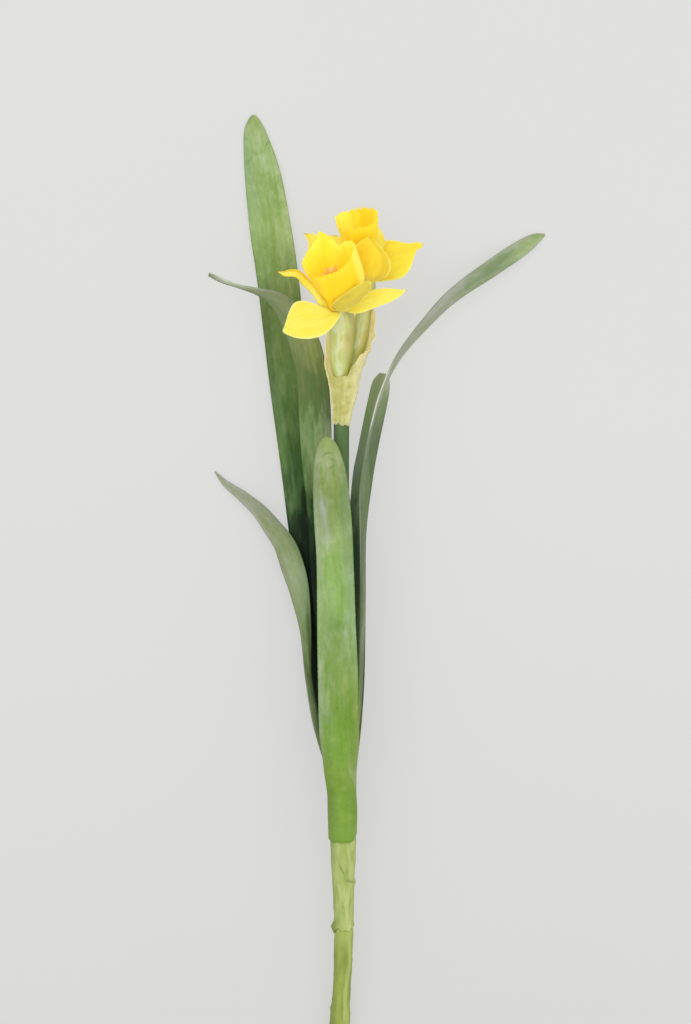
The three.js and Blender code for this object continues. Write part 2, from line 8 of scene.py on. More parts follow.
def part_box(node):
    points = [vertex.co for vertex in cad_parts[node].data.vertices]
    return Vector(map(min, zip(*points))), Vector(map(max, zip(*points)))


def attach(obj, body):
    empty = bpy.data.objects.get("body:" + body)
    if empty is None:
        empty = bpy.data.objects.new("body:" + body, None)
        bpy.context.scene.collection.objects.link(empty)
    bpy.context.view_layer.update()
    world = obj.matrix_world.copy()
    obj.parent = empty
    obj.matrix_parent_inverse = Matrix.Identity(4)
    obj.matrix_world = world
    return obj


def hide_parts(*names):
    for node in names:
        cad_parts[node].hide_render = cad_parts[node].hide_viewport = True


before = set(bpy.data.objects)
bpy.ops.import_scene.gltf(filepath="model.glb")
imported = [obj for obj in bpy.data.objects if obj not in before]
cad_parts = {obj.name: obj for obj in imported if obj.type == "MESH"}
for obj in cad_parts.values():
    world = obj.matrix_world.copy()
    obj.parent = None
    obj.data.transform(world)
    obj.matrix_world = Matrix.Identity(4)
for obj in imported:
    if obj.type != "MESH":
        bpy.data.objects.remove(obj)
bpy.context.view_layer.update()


# The surface the cut spray lies on, an opal sheet lit softly from beneath so that shadows nearly vanish,
# the light of a bright room with one large window to the upper left, and the camera straight above.
def card_colour(red, green, blue):
    """A colour as a dyer's card gives it, 0 to 255, made into the light that a surface sends back.
    Some colours given this way are painted shade and painted highlights.
    """
    light = [((c / 255 + 0.055) / 1.055) ** 2.4 if c > 10 else c / 3294 for c in (red, green, blue)]
    return (*light, 1.0)


def wire(tree, node, feeds):
    """A link or a plain value for each named input of the node."""
    for socket, source in feeds.items():
        if isinstance(source, bpy.types.NodeSocket):
            tree.links.new(source, node.inputs[socket])
        else:
            node.inputs[socket].default_value = source


def feed(tree, kind, feeds=None, **settings):
    """One shader node with its settings and inputs."""
    made = tree.nodes.new(kind)
    for name, value in settings.items():
        setattr(made, name, value)
    wire(tree, made, feeds or {})
    return made


def mixed(tree, share, first, second, kind="MIX"):
    blend = feed(tree, "ShaderNodeMix", {0: share, 6: first, 7: second}, data_type="RGBA", blend_type=kind)
    return blend.outputs[2]


def new_material(name):
    material = bpy.data.materials.new(name)
    material.use_nodes = True
    return material, material.node_tree, material.node_tree.nodes["Principled BSDF"]


def hang_light(name, place, size, watts):
    """A round soft light that is aimed at the middle of the spray."""
    lamp = bpy.data.lights.new(name, "AREA")
    lamp.shape = "DISK"
    lamp.size = size
    lamp.energy = watts
    holder = bpy.data.objects.new(name, lamp)
    holder.location = place
    holder.rotation_euler = (SPRAY_MIDDLE - holder.location).to_track_quat("-Z", "Y").to_euler()
    bpy.context.collection.objects.link(holder)


SPRAY_MIDDLE = Vector((-0.0157, 0.0513, 0.0))
CAMERA_HEIGHT = 8.0
VIEW_LENGTH = 0.512
VIEW_LEVEL = 0.03
ROOM_LIGHT = 0.97
FLOOR_SIZE = 6.0
FLOOR_GLOW = 0.5

camera = bpy.data.objects.new("camera", bpy.data.cameras.new("camera"))
camera.location = SPRAY_MIDDLE + Vector((0, 0, CAMERA_HEIGHT))
camera.data.lens = camera.data.sensor_width * (CAMERA_HEIGHT - VIEW_LEVEL) / VIEW_LENGTH
camera.data.clip_end = 40
bpy.context.collection.objects.link(camera)
bpy.context.scene.camera = camera
bpy.context.scene.view_settings.view_transform = "Standard"

room = bpy.data.worlds.new("room")
room.use_nodes = True
walls = room.node_tree.nodes["Background"]
wire(room.node_tree, walls, {"Color": card_colour(255, 255, 255), "Strength": ROOM_LIGHT})
bpy.context.scene.world = room
hang_light("window", Vector((-0.9, 0.9, 2.6)), size=3.0, watts=14)
hang_light("pale_wall", Vector((1.0, -0.3, 2.4)), size=2.4, watts=5)

floor_paint, tree, shader = new_material("floor_paint")
place = feed(tree, "ShaderNodeTexCoord").outputs["Object"]
grit = feed(tree, "ShaderNodeTexNoise", {"Vector": place, "Scale": 3.0, "Detail": 3.0}).outputs["Fac"]
level = feed(tree, "ShaderNodeSeparateXYZ", {"Vector": place}).outputs["Y"]
# The floor's glow is painted dimmer towards the bottom of the view, a painted shade.
dimming = feed(tree, "ShaderNodeMapRange", {"Value": level, "From Min": 0.1, "From Max": -0.2})
wire(tree, shader, {
    "Base Color": mixed(tree, grit, card_colour(132, 132, 130), card_colour(126, 126, 125)),
    "Emission Color": mixed(tree, dimming.outputs["Result"], (1.0, 1.0, 0.985, 1.0), (0.91, 0.91, 0.89, 1.0)),
    "Emission Strength": FLOOR_GLOW, "Roughness": 0.95, "Specular IOR Level": 0.1,
})
mesh = bmesh.new()
bmesh.ops.create_grid(mesh, x_segments=2, y_segments=2, size=FLOOR_SIZE / 2)
floor = bpy.data.objects.new("floor", bpy.data.meshes.new("floor"))
mesh.to_mesh(floor.data)
mesh.free()
floor.data.materials.append(floor_paint)
bpy.context.collection.objects.link(floor)


# The lower stem: a bundle of wires and leaf ends bound in waxy green tape. The tape is wound on a slant,
# so its overlaps stand up as low ridges, and the foot is cut square.
MM = 0.001
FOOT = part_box("lower_stem")[0] + Vector((7.676, 0.444, -0.115)) * MM
WEAVE_UNIT = 100.0
A_STEP = 0.004
CUT_RIM = 0.6
MERGE_WITHIN = 0.01


def clamped(share):
    return min(max(share, 0.0), 1.0)


def blended(before, here, there, after, t):
    """A row on the smooth curve that leads from here to there, at t of the way."""
    return [b + 0.5 * t * (c - a + t * (2 * a - 5 * b + 4 * c - d + t * (3 * (b - c) + d - a)))
            for a, b, c, d in zip(before, here, there, after)]


def through(rows, share):
    """The row at that share of the way through the rows, on a smooth curve from one row to the next."""
    place = clamped(share) * (len(rows) - 1)
    step = min(int(place), len(rows) - 2)
    return blended(rows[max(step - 1, 0)], rows[step], rows[step + 1], rows[min(step + 2, len(rows) - 1)],
                   place - step)


def heading(rows, share):
    """The direction of growth at that share of the way."""
    ahead = Vector(through(rows, share + A_STEP)[:3])
    behind = Vector(through(rows, share - A_STEP)[:3])
    return (ahead - behind).normalized()


def stance(rows, share, roll=0):
    """The directions to the right of a piece and out of its face, turned by roll degrees from facing up."""
    growth = heading(rows, share)
    up = Vector((0, 0, 1)) - growth * growth.z
    face = Matrix.Rotation(math.radians(roll), 3, growth) @ up.normalized()
    return growth.cross(face), face


def on_skin(rows, share, angle, radius, depth=1.0):
    """The point at that angle and radius round the curve, where 0 faces up. Depth flattens the round."""
    side, face = stance(rows, share)
    middle = Vector(through(rows, share)[:3])
    return FOOT + (middle + (side * math.sin(angle) + face * (math.cos(angle) * depth)) * radius) * MM


def reach_of(rows, steps=160):
    """A function that tells how far along the piece a share of the way is, in millimetres."""
    table = [0.0]
    for i in range(steps):
        here = Vector(through(rows, i / steps)[:3])
        table.append(table[-1] + (Vector(through(rows, (i + 1) / steps)[:3]) - here).length)

    def reach(share):
        place = clamped(share) * steps
        step = min(int(place), steps - 1)
        return table[step] + (table[step + 1] - table[step]) * (place - step)
    return reach


def start_sheet(columns, rows, laid_flat):
    """A grid with two values, across from -1 to 1 and along from 0 to 1, for the shape and the finish to
    read, and a weave map of where each point is on the cloth laid flat, in millimetres."""
    mesh = bmesh.new()
    weave = mesh.loops.layers.uv.new("weave")
    across = mesh.verts.layers.float.new("across")
    along = mesh.verts.layers.float.new("along")
    bmesh.ops.create_grid(mesh, x_segments=columns, y_segments=rows, size=1)
    for vert in mesh.verts:
        vert[across] = vert.co.x
        vert[along] = (vert.co.y + 1) / 2
    for face in mesh.faces:
        for loop in face.loops:
            wide, long = laid_flat(loop.vert[across], loop.vert[along])
            loop[weave].uv = (wide / WEAVE_UNIT, long / WEAVE_UNIT)
    return mesh, across, along


def close_seam(mesh):
    """Joins the edges of a sheet that has been brought round into a tube."""
    bmesh.ops.remove_doubles(mesh, verts=mesh.verts, dist=MERGE_WITHIN * MM)
    bmesh.ops.recalc_face_normals(mesh, faces=mesh.faces)


def finish_piece(name, node, slot, mesh, materials, thickness=0.0):
    """Puts the finished piece on the body in place of its CAD node. A sheet has the first material on its
    outer face and the second, if there is one, on its inner face."""
    data = bpy.data.meshes.new(name)
    mesh.to_mesh(data)
    mesh.free()
    data.polygons.foreach_set("use_smooth", [True] * len(data.polygons))
    piece = bpy.data.objects.new(name, data)
    for material in materials:
        piece.data.materials.append(material)
    bpy.context.collection.objects.link(piece)
    if thickness:
        wall = piece.modifiers.new("thickness", "SOLIDIFY")
        wall.thickness = thickness * MM
        wall.offset = 0
        wall.material_offset = len(materials) - 1
    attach(piece, "root")
    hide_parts(node)


def grow_stalk(rows, around, steps, form):
    """A round stalk on the curve through the rows, each x, y, z and radius, closed at both ends."""
    reach = reach_of(rows)
    mesh, across, along = start_sheet(
        around, steps, lambda turn, share: (turn * math.pi * through(rows, share)[3], reach(share)))
    turned = mesh.verts.layers.float.new("turned")
    for vert in mesh.verts:
        share = vert[along]
        angle = vert[across] * math.pi
        x, y, z, radius = through(rows, share)
        vert.co = on_skin(rows, share, angle, radius + form(angle, share, y))
        vert[turned] = vert[across]
        vert[across] = abs(vert[across])
    close_seam(mesh)
    rims = [edge for edge in mesh.edges if edge.is_boundary]
    caps = bmesh.ops.edgeloop_fill(mesh, edges=rims)["faces"]
    bmesh.ops.inset_individual(mesh, faces=caps, thickness=CUT_RIM * MM, depth=0.0)
    bmesh.ops.recalc_face_normals(mesh, faces=mesh.faces)
    return mesh


def hump(value, middle, reach, power=2):
    """1 at the middle, fading to nothing a little beyond the reach on both sides."""
    return math.exp(-((value - middle) / reach) ** power)


def uneven(x, y, z):
    return noise.noise(Vector((x, y, z)))


def uneven_round(angle, size, level):
    """Unevenness that meets itself again after a full turn."""
    return uneven(size * math.cos(angle), size * math.sin(angle), level)


def stretched(tree, wide, long, seed):
    """Noise whose grains are drawn out along the piece: so many across and along in a hundred millimetres."""
    weave = feed(tree, "ShaderNodeUVMap", uv_map="weave").outputs["UV"]
    scaled = feed(tree, "ShaderNodeVectorMath", {0: weave, 1: (wide, long, 1)}, operation="MULTIPLY")
    moved = feed(tree, "ShaderNodeVectorMath", {0: scaled.outputs["Vector"], 1: seed}, operation="ADD")
    grain = feed(tree, "ShaderNodeTexNoise", {"Vector": moved.outputs["Vector"], "Scale": 1.0, "Detail": 3.0})
    return grain.outputs["Fac"]


def ramped(tree, value, low, high, end=1.0, start=0.0):
    """The value drawn out from low..high to start..end, with soft ends."""
    ramp = feed(tree, "ShaderNodeMapRange", {"Value": value, "From Min": low, "From Max": high,
                                             "To Min": start, "To Max": end}, interpolation_type="SMOOTHSTEP")
    return ramp.outputs["Result"]


def times(tree, first, second, kind="MULTIPLY"):
    return feed(tree, "ShaderNodeMath", {0: first, 1: second}, operation=kind).outputs["Value"]


def band(tree, value, start, full, fading, end, most=1.0):
    """A mask that comes in from start to full and goes out again from fading to end."""
    return times(tree, ramped(tree, value, start, full), ramped(tree, value, end, fading, most))


def trait(tree, name):
    return feed(tree, "ShaderNodeAttribute", attribute_name=name).outputs["Fac"]


def wandering(tree, name, wide, long, seed, most):
    """The named value of the mesh, made to wander to either side by up to that much."""
    sway = ramped(tree, stretched(tree, wide, long, seed), 0.3, 0.7, most, -most)
    return times(tree, trait(tree, name), sway, "ADD")


def laid_over(tree, ground, layers):
    """Colours laid over the ground one by one, each with the share of it that shows."""
    for share, colour in layers:
        ground = mixed(tree, share, ground, colour)
    return ground


def bumped(tree, height, strength, distance):
    bump = feed(tree, "ShaderNodeBump", {"Height": height, "Strength": strength, "Distance": distance})
    return bump.outputs["Normal"]


stem_tape, tree, shader = new_material("stem_tape")
streaks = stretched(tree, 60, 4, (3, 1, 0))
patches = stretched(tree, 14, 7, (8, 2, 0))
round_stem = wandering(tree, "turned", 30, 6, (6, 6, 0), 0.08)
wire(tree, shader, {
    "Base Color": laid_over(tree, card_colour(128, 144, 50), [
        (ramped(tree, patches, 0.35, 0.65), card_colour(150, 164, 70)),
        (ramped(tree, streaks, 0.45, 0.75, 0.4), card_colour(108, 128, 46)),
        # Painted shade down the left side of the stem and a painted highlight in a band right of its middle.
        (ramped(tree, round_stem, -0.05, -0.3, 0.6), card_colour(112, 130, 48)),
        (band(tree, round_stem, 0.08, 0.2, 0.24, 0.38, 0.7), card_colour(174, 188, 104)),
        (ramped(tree, trait(tree, "along"), 0.7, 0.83, 0.45), card_colour(168, 184, 98)),
    ]),
    "Roughness": ramped(tree, patches, 0.3, 0.7, 0.62, 0.42),
    "Normal": bumped(tree, streaks, 0.35, 0.0004),
})

TAPE_CLIMB = 15.0
KNOT_HEIGHT = 52.3
LOWER_STEM = [
    (-2.9, 0, 5, 4.9), (-1.6, 28, 7.2, 5), (-0.7, 47, 8.6, 5.15), (-0.1, 55.5, 9.3, 4.6),
    (0.6, 68, 10.2, 4.5), (1, 80, 11.1, 4.75), (1.4, 91, 12.1, 4.75), (1.5, 97.5, 12.6, 4.05),
]


def tape_ridges(angle, share, y):
    """The tape's overlaps climb on a slant, and the bundle inside shows through as soft flutes."""
    slant = (y / TAPE_CLIMB + angle / (2 * math.pi) + 0.15 * math.sin(y * 0.11)) % 1.0
    ridge = 0.16 * hump(slant, 0.5, 0.06) - 0.12 * slant
    flutes = 0.10 * math.sin(3 * angle + y * 0.04) + 0.06 * math.sin(7 * angle - y * 0.07)
    knot = 0.4 * hump(y, KNOT_HEIGHT, 1.4) * (0.6 - 0.4 * math.sin(angle))
    return ridge + flutes + knot + 0.12 * uneven(angle, y * 0.12, 4.0)


mesh = grow_stalk(LOWER_STEM, 72, 420, tape_ridges)
finish_piece("taped_stem", "lower_stem", "lower_stem", mesh, [stem_tape])


# The paper wrap: one strip of crinkled pale green paper, pasted round the place where the stem and the
# leaves are bound together. It narrows to the stem, and its lower end is torn.
wrap_paper, tree, shader = new_material("wrap_paper")
patches = stretched(tree, 22, 9, (1, 4, 0))
streaks = stretched(tree, 90, 5, (2, 6, 0))
round_wrap = wandering(tree, "across", 30, 6, (6, 9, 0), 0.1)
wire(tree, shader, {
    "Base Color": laid_over(tree, card_colour(150, 168, 86), [
        (ramped(tree, patches, 0.35, 0.65), card_colour(172, 184, 112)),
        (ramped(tree, streaks, 0.5, 0.8, 0.45), card_colour(124, 144, 66)),
        # Painted shade down the wrap's left side and in its pinched folds, and a painted highlight right of
        # its middle.
        (ramped(tree, round_wrap, -0.12, -0.4, 0.6), card_colour(134, 150, 88)),
        (band(tree, round_wrap, 0.02, 0.16, 0.2, 0.36, 0.45), card_colour(194, 204, 130)),
        (times(tree, trait(tree, "pinch_shade"), 0.75), card_colour(108, 122, 62)),
    ]),
    "Roughness": 0.8,
    "Normal": bumped(tree, stretched(tree, 70, 30, (5, 9, 0)), 0.4, 0.0004),
})

WRAP_THICKNESS = 0.35
WRAP_GIRTH = 5.5 * math.pi
WRAP_REACH = 21.6
WRAP = [
    (1.4, 89.4, 12, 5.15), (1.6, 93, 12.3, 5), (1.5, 97, 12.6, 4.75), (1.3, 106, 13.3, 5.05),
    (1.1, 115, 13.9, 5.35), (1.1, 127, 14.7, 6), (1, 140.5, 15.6, 6.3),
]


def wrap_pinches(angle, y):
    """Where the paper is pinched: a level fold, a slanting one, a long one, a nick and a torn flap."""
    level = 0.75 * hump(y - 1.1 * (0.6 - angle), 116.4, 0.75) * hump(angle, 0.7, 0.55, 4)
    slant = hump(angle + (y - 122.4) * 0.075, -0.14, 0.08) * hump(y, 122.4, 2.6, 4)
    upright = 0.5 * hump(angle - (y - 104) * 0.012, 0.62, 0.07) * hump(y, 104, 8.5, 4)
    nick = 0.7 * hump(angle + (y - 104.5) * 0.02, -0.1, 0.07) * hump(y, 104.5, 1.8, 4)
    flap = 1 / (1 + math.exp((angle + 1.02) * 16)) / (1 + math.exp((y - 96.6) * 3))
    return level + slant + upright + nick + flap


def wrap_creases(angle, y):
    """The paper puckers between its pinches, one fold ends in a small knot, and the torn flap stands off."""
    pucker = 0.26 * uneven_round(angle, 2.2, y * 0.16)
    knot = 0.6 * hump(y, 115.5, 1.2) * hump(angle, 1.4, 0.35)
    lip = 0.25 * hump(y + 0.5 * angle, 117.2, 0.6) * max(0.0, math.sin(angle))
    flap = 2.0 * hump(y, 93.6, 2.8) * hump(angle, -1.42, 0.3)
    return pucker + knot + lip + flap - 0.3 * wrap_pinches(angle, y)


reach = reach_of(WRAP)
mesh, across, along = start_sheet(128, 240, lambda turn, share: (turn * WRAP_GIRTH, reach(share)))
# How deeply the paper is pinched is kept on each point for the finish, which paints shade into the folds.
pinch_shade = mesh.verts.layers.float.new("pinch_shade")
for vert in mesh.verts:
    angle = vert[across] * math.pi
    torn = 0.9 * uneven_round(angle, 4, 7.0) + 2.7 * hump(angle, 1.5, 0.8) + hump(angle, -0.7, 0.35)
    start = (2.3 + torn - 1.9 * hump(angle, -1.35, 0.3)) / WRAP_REACH
    share = max(start + (1 - start) * vert[along], 0.0)
    x, y, z, radius = through(WRAP, share)
    vert[pinch_shade] = min(1.0, wrap_pinches(angle, y))
    vert.co = on_skin(WRAP, share, angle, radius + wrap_creases(angle, y))
close_seam(mesh)
finish_piece("paper_wrap", "stem_wrap", "stem_wrap", mesh, [wrap_paper], WRAP_THICKNESS)


# The scape: the smooth dark green tube that carries both blooms. It is moulded plastic over a wire,
# with faint ribs along it, and it shows between the leaves and under the spathe.
scape_green, tree, shader = new_material("scape_green")
streaks = stretched(tree, 80, 2, (7, 3, 0))
turned = trait(tree, "turned")
wire(tree, shader, {
    "Base Color": laid_over(tree, card_colour(58, 90, 36), [
        (ramped(tree, stretched(tree, 12, 5, (4, 4, 0)), 0.3, 0.7), card_colour(80, 110, 54)),
        (ramped(tree, streaks, 0.4, 0.8, 0.5), card_colour(48, 76, 34)),
        # Painted shade down the left side of the scape and a painted highlight in a narrow band along its
        # middle.
        (ramped(tree, turned, -0.2, -0.42, 0.8), card_colour(42, 58, 40)),
        (band(tree, turned, -0.2, -0.08, -0.02, 0.1, 0.4), card_colour(92, 130, 60)),
    ]),
    "Roughness": ramped(tree, streaks, 0.3, 0.7, 0.58, 0.42),
    "Normal": bumped(tree, streaks, 0.25, 0.0003),
})

SCAPE = [
    (1.5, 98, 12.7, 3.6), (1.1, 114, 13.9, 3.6), (0.9, 136, 15.5, 3.6), (0.7, 160, 17.4, 3.6),
    (0.3, 200, 20.5, 3.8), (0, 270, 26, 3.85), (0.1, 342, 31.6, 3.85), (0.1, 350, 32.2, 3.2),
]


def scape_ribs(angle, share, y):
    return 0.07 * math.sin(9 * angle) + 0.08 * uneven(angle, y * 0.05, 1.0)


mesh = grow_stalk(SCAPE, 72, 260, scape_ribs)
finish_piece("green_scape", "scape", "scape", mesh, [scape_green])


# The six leaves: straps of starched cloth, printed green with fine veins that run from foot to tip and
# cloudy pale patches like the bloom on a real leaf. The cut edges fray a little.
def new_group(name, colours, numbers, results):
    """A shader group that is given colours, numbers and a seed, and puts out a colour and more results. It
    comes with what it is given and with the node that its results go to."""
    group = bpy.data.node_groups.new(name, "ShaderNodeTree")
    for way, kind, labels in (("INPUT", "Color", colours), ("INPUT", "Float", numbers),
                              ("INPUT", "Vector", ["Seed"]), ("OUTPUT", "Color", ["Colour"]),
                              ("OUTPUT", "Float", results)):
        for label in labels:
            group.interface.new_socket(label, in_out=way, socket_type="NodeSocket" + kind)
    return group, group.nodes.new("NodeGroupInput").outputs, group.nodes.new("NodeGroupOutput")


def tinted(tree, share, ground, tint):
    """The ground with its red, green and blue strengthened or weakened, over that share of it."""
    return mixed(tree, share, ground, mixed(tree, 1.0, ground, (*tint, 1.0), "MULTIPLY"))


def from_middle(tree):
    return feed(tree, "ShaderNodeMath", {0: trait(tree, "across")}, operation="ABSOLUTE").outputs["Value"]


leaf_print, given, result = new_group("leaf_print", ["Ground"], ["Bloom Amount", "Flush Amount"],
                                      ["Height", "Roughness"])
veins, streaks, clouds, wisps, mottles, threads = (
    stretched(leaf_print, wide, long, given["Seed"])
    for wide, long in ((150, 2.6), (26, 2.6), (17, 10), (44, 24), (90, 60), (420, 420)))
ground = given["Ground"]
for grain, low, high, most, amount, tint in (
    (streaks, 0.48, 0.66, 1.0, given["Flush Amount"], (0.78, 0.92, 0.5)),
    (streaks, 0.5, 0.32, 0.6, given["Bloom Amount"], (1.3, 1.2, 1.5)),
    (clouds, 0.47, 0.68, 1.0, given["Bloom Amount"], (1.36, 1.22, 1.6)),
    (wisps, 0.5, 0.68, 0.7, given["Bloom Amount"], (1.26, 1.18, 1.45)),
    (wisps, 0.5, 0.36, 0.35, 1.0, (0.84, 0.9, 0.72)),
    (mottles, 0.42, 0.64, 0.5, 1.0, (0.9, 0.93, 0.86)),
    (veins, 0.46, 0.64, 0.35, 1.0, (0.8, 0.87, 0.7)),
):
    share = times(leaf_print, ramped(leaf_print, grain, low, high, most), amount)
    ground = tinted(leaf_print, share, ground, tint)
wire(leaf_print, result, {
    # Painted shade darkens the cloth along the pressed creases.
    "Colour": tinted(leaf_print, trait(leaf_print, "crease"), ground, (0.62, 0.7, 0.5)),
    "Height": times(leaf_print, veins, times(leaf_print, threads, 0.25), "ADD"),
    "Roughness": ramped(leaf_print, clouds, 0.3, 0.7, 0.68, 0.5),
})


HALVINGS = 20
LINE_RUN_IN = 0.04


def share_at(rows, height):
    """The share of the way at which the curve through the rows has climbed to that height."""
    low, high = 0.0, 1.0
    for _ in range(HALVINGS):
        middle = (low + high) / 2
        if through(rows, middle)[1] < height:
            low = middle
        else:
            high = middle
    return low


def dyed_and_shaded_bands(tree, along, rows, dyes_and_shading, column):
    """Colours, with painted shade and painted light among them, that blend from one height up the leaf to the
    next.
    """
    ramp = feed(tree, "ShaderNodeValToRGB", {"Fac": along})
    stops = ramp.color_ramp.elements
    stops.remove(stops[1])
    for i, (height, *colours) in enumerate(dyes_and_shading):
        stop = stops.new(share_at(rows, height)) if i else stops[0]
        stop.position = share_at(rows, height)
        stop.color = card_colour(*colours[column])
    return ramp.outputs["Color"]


def leaf_finish(name, rows, dyes_and_shading, seed, bloom, flush, lit_edges):
    """A row of colours is a height, then the colours at the left edge, the middle and the right edge of the
    leaf, which hold painted shade and painted light as well as the leaf's own colour. A lit edge is its side,
    -1 or 1, the heights that its pale line runs between, its width and its strength."""
    material, tree, shader = new_material(name)
    along_leaf = wandering(tree, "along", 30, 6, (seed[1], seed[2], seed[0]), 0.02)
    across_leaf = wandering(tree, "across", 24, 4, seed, 0.3)
    left, middle, right = (dyed_and_shaded_bands(tree, along_leaf, rows, dyes_and_shading, column) for column in range(3))
    ground = laid_over(tree, middle, [(ramped(tree, across_leaf, -0.1, -0.85), left),
                                      (ramped(tree, across_leaf, 0.1, 0.85), right)])
    cloth = feed(tree, "ShaderNodeGroup", {"Ground": ground, "Bloom Amount": bloom, "Flush Amount": flush,
                                           "Seed": seed}, node_tree=leaf_print).outputs
    ground = tinted(tree, ramped(tree, from_middle(tree), 0.9, 1.0, 0.7), cloth["Colour"], (0.68, 0.74, 0.6))
    for side, low, high, width, strength in lit_edges:
        start = share_at(rows, low)
        end = share_at(rows, high)
        near_edge = ramped(tree, times(tree, trait(tree, "across"), side), 1 - width, 1 - width * 0.6)
        line = band(tree, trait(tree, "along"), start, start + LINE_RUN_IN, end - LINE_RUN_IN, end, strength)
        ground = mixed(tree, times(tree, line, near_edge), ground, card_colour(214, 219, 200))
    wire(tree, shader, {"Base Color": ground, "Roughness": cloth["Roughness"], "Specular IOR Level": 0.14,
                        "Normal": bumped(tree, cloth["Height"], 0.35, 0.0005)})
    return material


CREASE_WIDTH = 0.7
LEAF_THICKNESS = 0.45


def grow_blade(rows, columns, steps, form, creases):
    """A thin sheet on the curve through the rows. A row is x, y, z, width, roll and wrap: the roll turns the
    sheet about the curve, and the wrap is half the angle of the arc that its cross-section follows. A crease
    is a height, its middle and reach across the sheet, its tilt and bow in millimetres, and its depth."""
    reach = reach_of(rows)
    mesh, across, along = start_sheet(
        columns, steps, lambda u, share: (u * through(rows, share)[3] / 2, reach(share)))
    crease = mesh.verts.layers.float.new("crease")
    for vert in mesh.verts:
        u = vert[across]
        stretch, lift, widen = form(u, vert[along])
        share = vert[along] + stretch
        x, y, z, width, roll, wrap = through(rows, share)
        pressed_in = 0.0
        for height, centre, far_out, tilt, bow, depth in creases:
            line = height + tilt * (u - centre) + bow * (u - centre) ** 2
            pressed_in += depth * hump(y, line, CREASE_WIDTH) * hump(u, centre, far_out)
        # The crease depth is kept for the print, which darkens the creases with painted shade.
        vert[crease] = clamped(pressed_in)
        side, face = stance(rows, share, roll)
        bend = math.radians(wrap)
        radius = (max(width, 0.2) + widen) / 2 / math.sin(min(bend, math.pi / 2))
        skin = radius + lift - 0.3 * pressed_in
        middle = Vector((x, y, z)) - face * radius
        vert.co = FOOT + (middle + (side * math.sin(u * bend) + face * math.cos(u * bend)) * skin) * MM
    bmesh.ops.recalc_face_normals(mesh, faces=mesh.faces)
    return mesh


def frayed(seed, wave=0.35, fray=0.12):
    """The edges wave gently, and their cut threads make them a little uneven."""
    def form(u, share):
        side = 1.0 if u > 0 else -1.0
        lift = wave * abs(u) ** 3 * uneven(share * 9.0, side * 3.0, seed)
        thread = fray * abs(u) ** 12 * uneven(share * 260.0, side * 5.0, seed)
        return 0.0, lift + 0.035 * math.sin(u * 21.0), thread
    return form


def make_leaf(node, slot, rows, dyes_and_shading, seed, columns, steps, form,
              creases=(), bloom=0.35, flush=0.4, lit_edges=()):
    # Each leaf's finish holds its print together with the painted shade and painted light of its colours.
    finish = leaf_finish(node + "_print", rows, dyes_and_shading, seed, bloom, flush, lit_edges)
    mesh = grow_blade(rows, columns, steps, form, creases)
    finish_piece(node.replace("_leaf", "_strap_leaf"), node, slot, mesh, [finish], LEAF_THICKNESS)


TALL_LEAF = [
    (0.9, 150, 12.4, 2.6, 0, 5), (0.4, 160, 12.4, 3.4, 0, 8), (-1.5, 175, 10.8, 8, 0, 14),
    (-7, 215, 9, 14, 0, 18), (-12, 250, 8, 17, 0, 18), (-16.5, 290, 7, 19, 0, 18), (-21, 330, 6, 20, 0, 18),
    (-25.5, 365, 5.2, 20.5, 0, 18), (-29.3, 397, 4.6, 20.5, 0, 18), (-32.4, 423, 4.2, 20.8, 0, 18),
    (-35.3, 442.5, 3.8, 20.7, 0, 18), (-39.4, 470.5, 3, 17.9, 0, 16), (-43.1, 490, 1.8, 11.8, 0, 10),
    (-43.7, 497.2, 1.2, 6.4, 0, 6), (-43.6, 500.2, 1, 1.7, 0, 5),
]
# The tall leaf's colours hold painted shade: the near-black rows at the foot stand for the shade between the
# leaves.
TALL_DYES_AND_SHADING = [
    (240, (18, 34, 20), (14, 30, 18), (14, 30, 18)), (272, (24, 42, 22), (12, 30, 16), (12, 30, 16)),
    (288, (36, 56, 30), (16, 34, 18), (16, 34, 18)), (302, (46, 70, 38), (24, 46, 22), (28, 50, 24)),
    (318, (84, 114, 64), (62, 92, 46), (74, 102, 54)), (338, (92, 122, 66), (62, 90, 40), (90, 120, 62)),
    (358, (92, 116, 69), (94, 121, 66), (94, 118, 66)),
    (378, (86, 108, 60), (106, 130, 70), (104, 128, 70)),
    (402, (98, 118, 66), (112, 132, 74), (116, 136, 78)),
    (426, (129, 154, 98), (130, 153, 87), (150, 170, 114)),
    (446, (150, 176, 118), (145, 171, 102), (166, 186, 127)),
    (466, (142, 167, 112), (137, 164, 95), (152, 174, 116)),
    (480, (142, 166, 116), (152, 175, 120), (162, 181, 132)),
    (491, (146, 166, 120), (158, 178, 122), (152, 171, 114)),
    (497, (135, 157, 92), (140, 162, 100), (148, 166, 108)),
]
TALL_CREASES = [
    (485, 0.75, 0.3, 5, -14, 0.8), (478, -0.75, 0.3, 3, 16, 0.7), (481, -0.15, 0.35, -2, 6, 0.5),
    (470, 0.2, 0.5, 1, 4, 0.4), (456, 0.55, 0.4, -3, 2, 0.45), (462, -0.4, 0.3, 2, 3, 0.3),
]
make_leaf("tall_leaf", "green_leaf", TALL_LEAF, TALL_DYES_AND_SHADING, (2, 5, 1), 48, 400, frayed(1.0),
          TALL_CREASES, bloom=0.64)

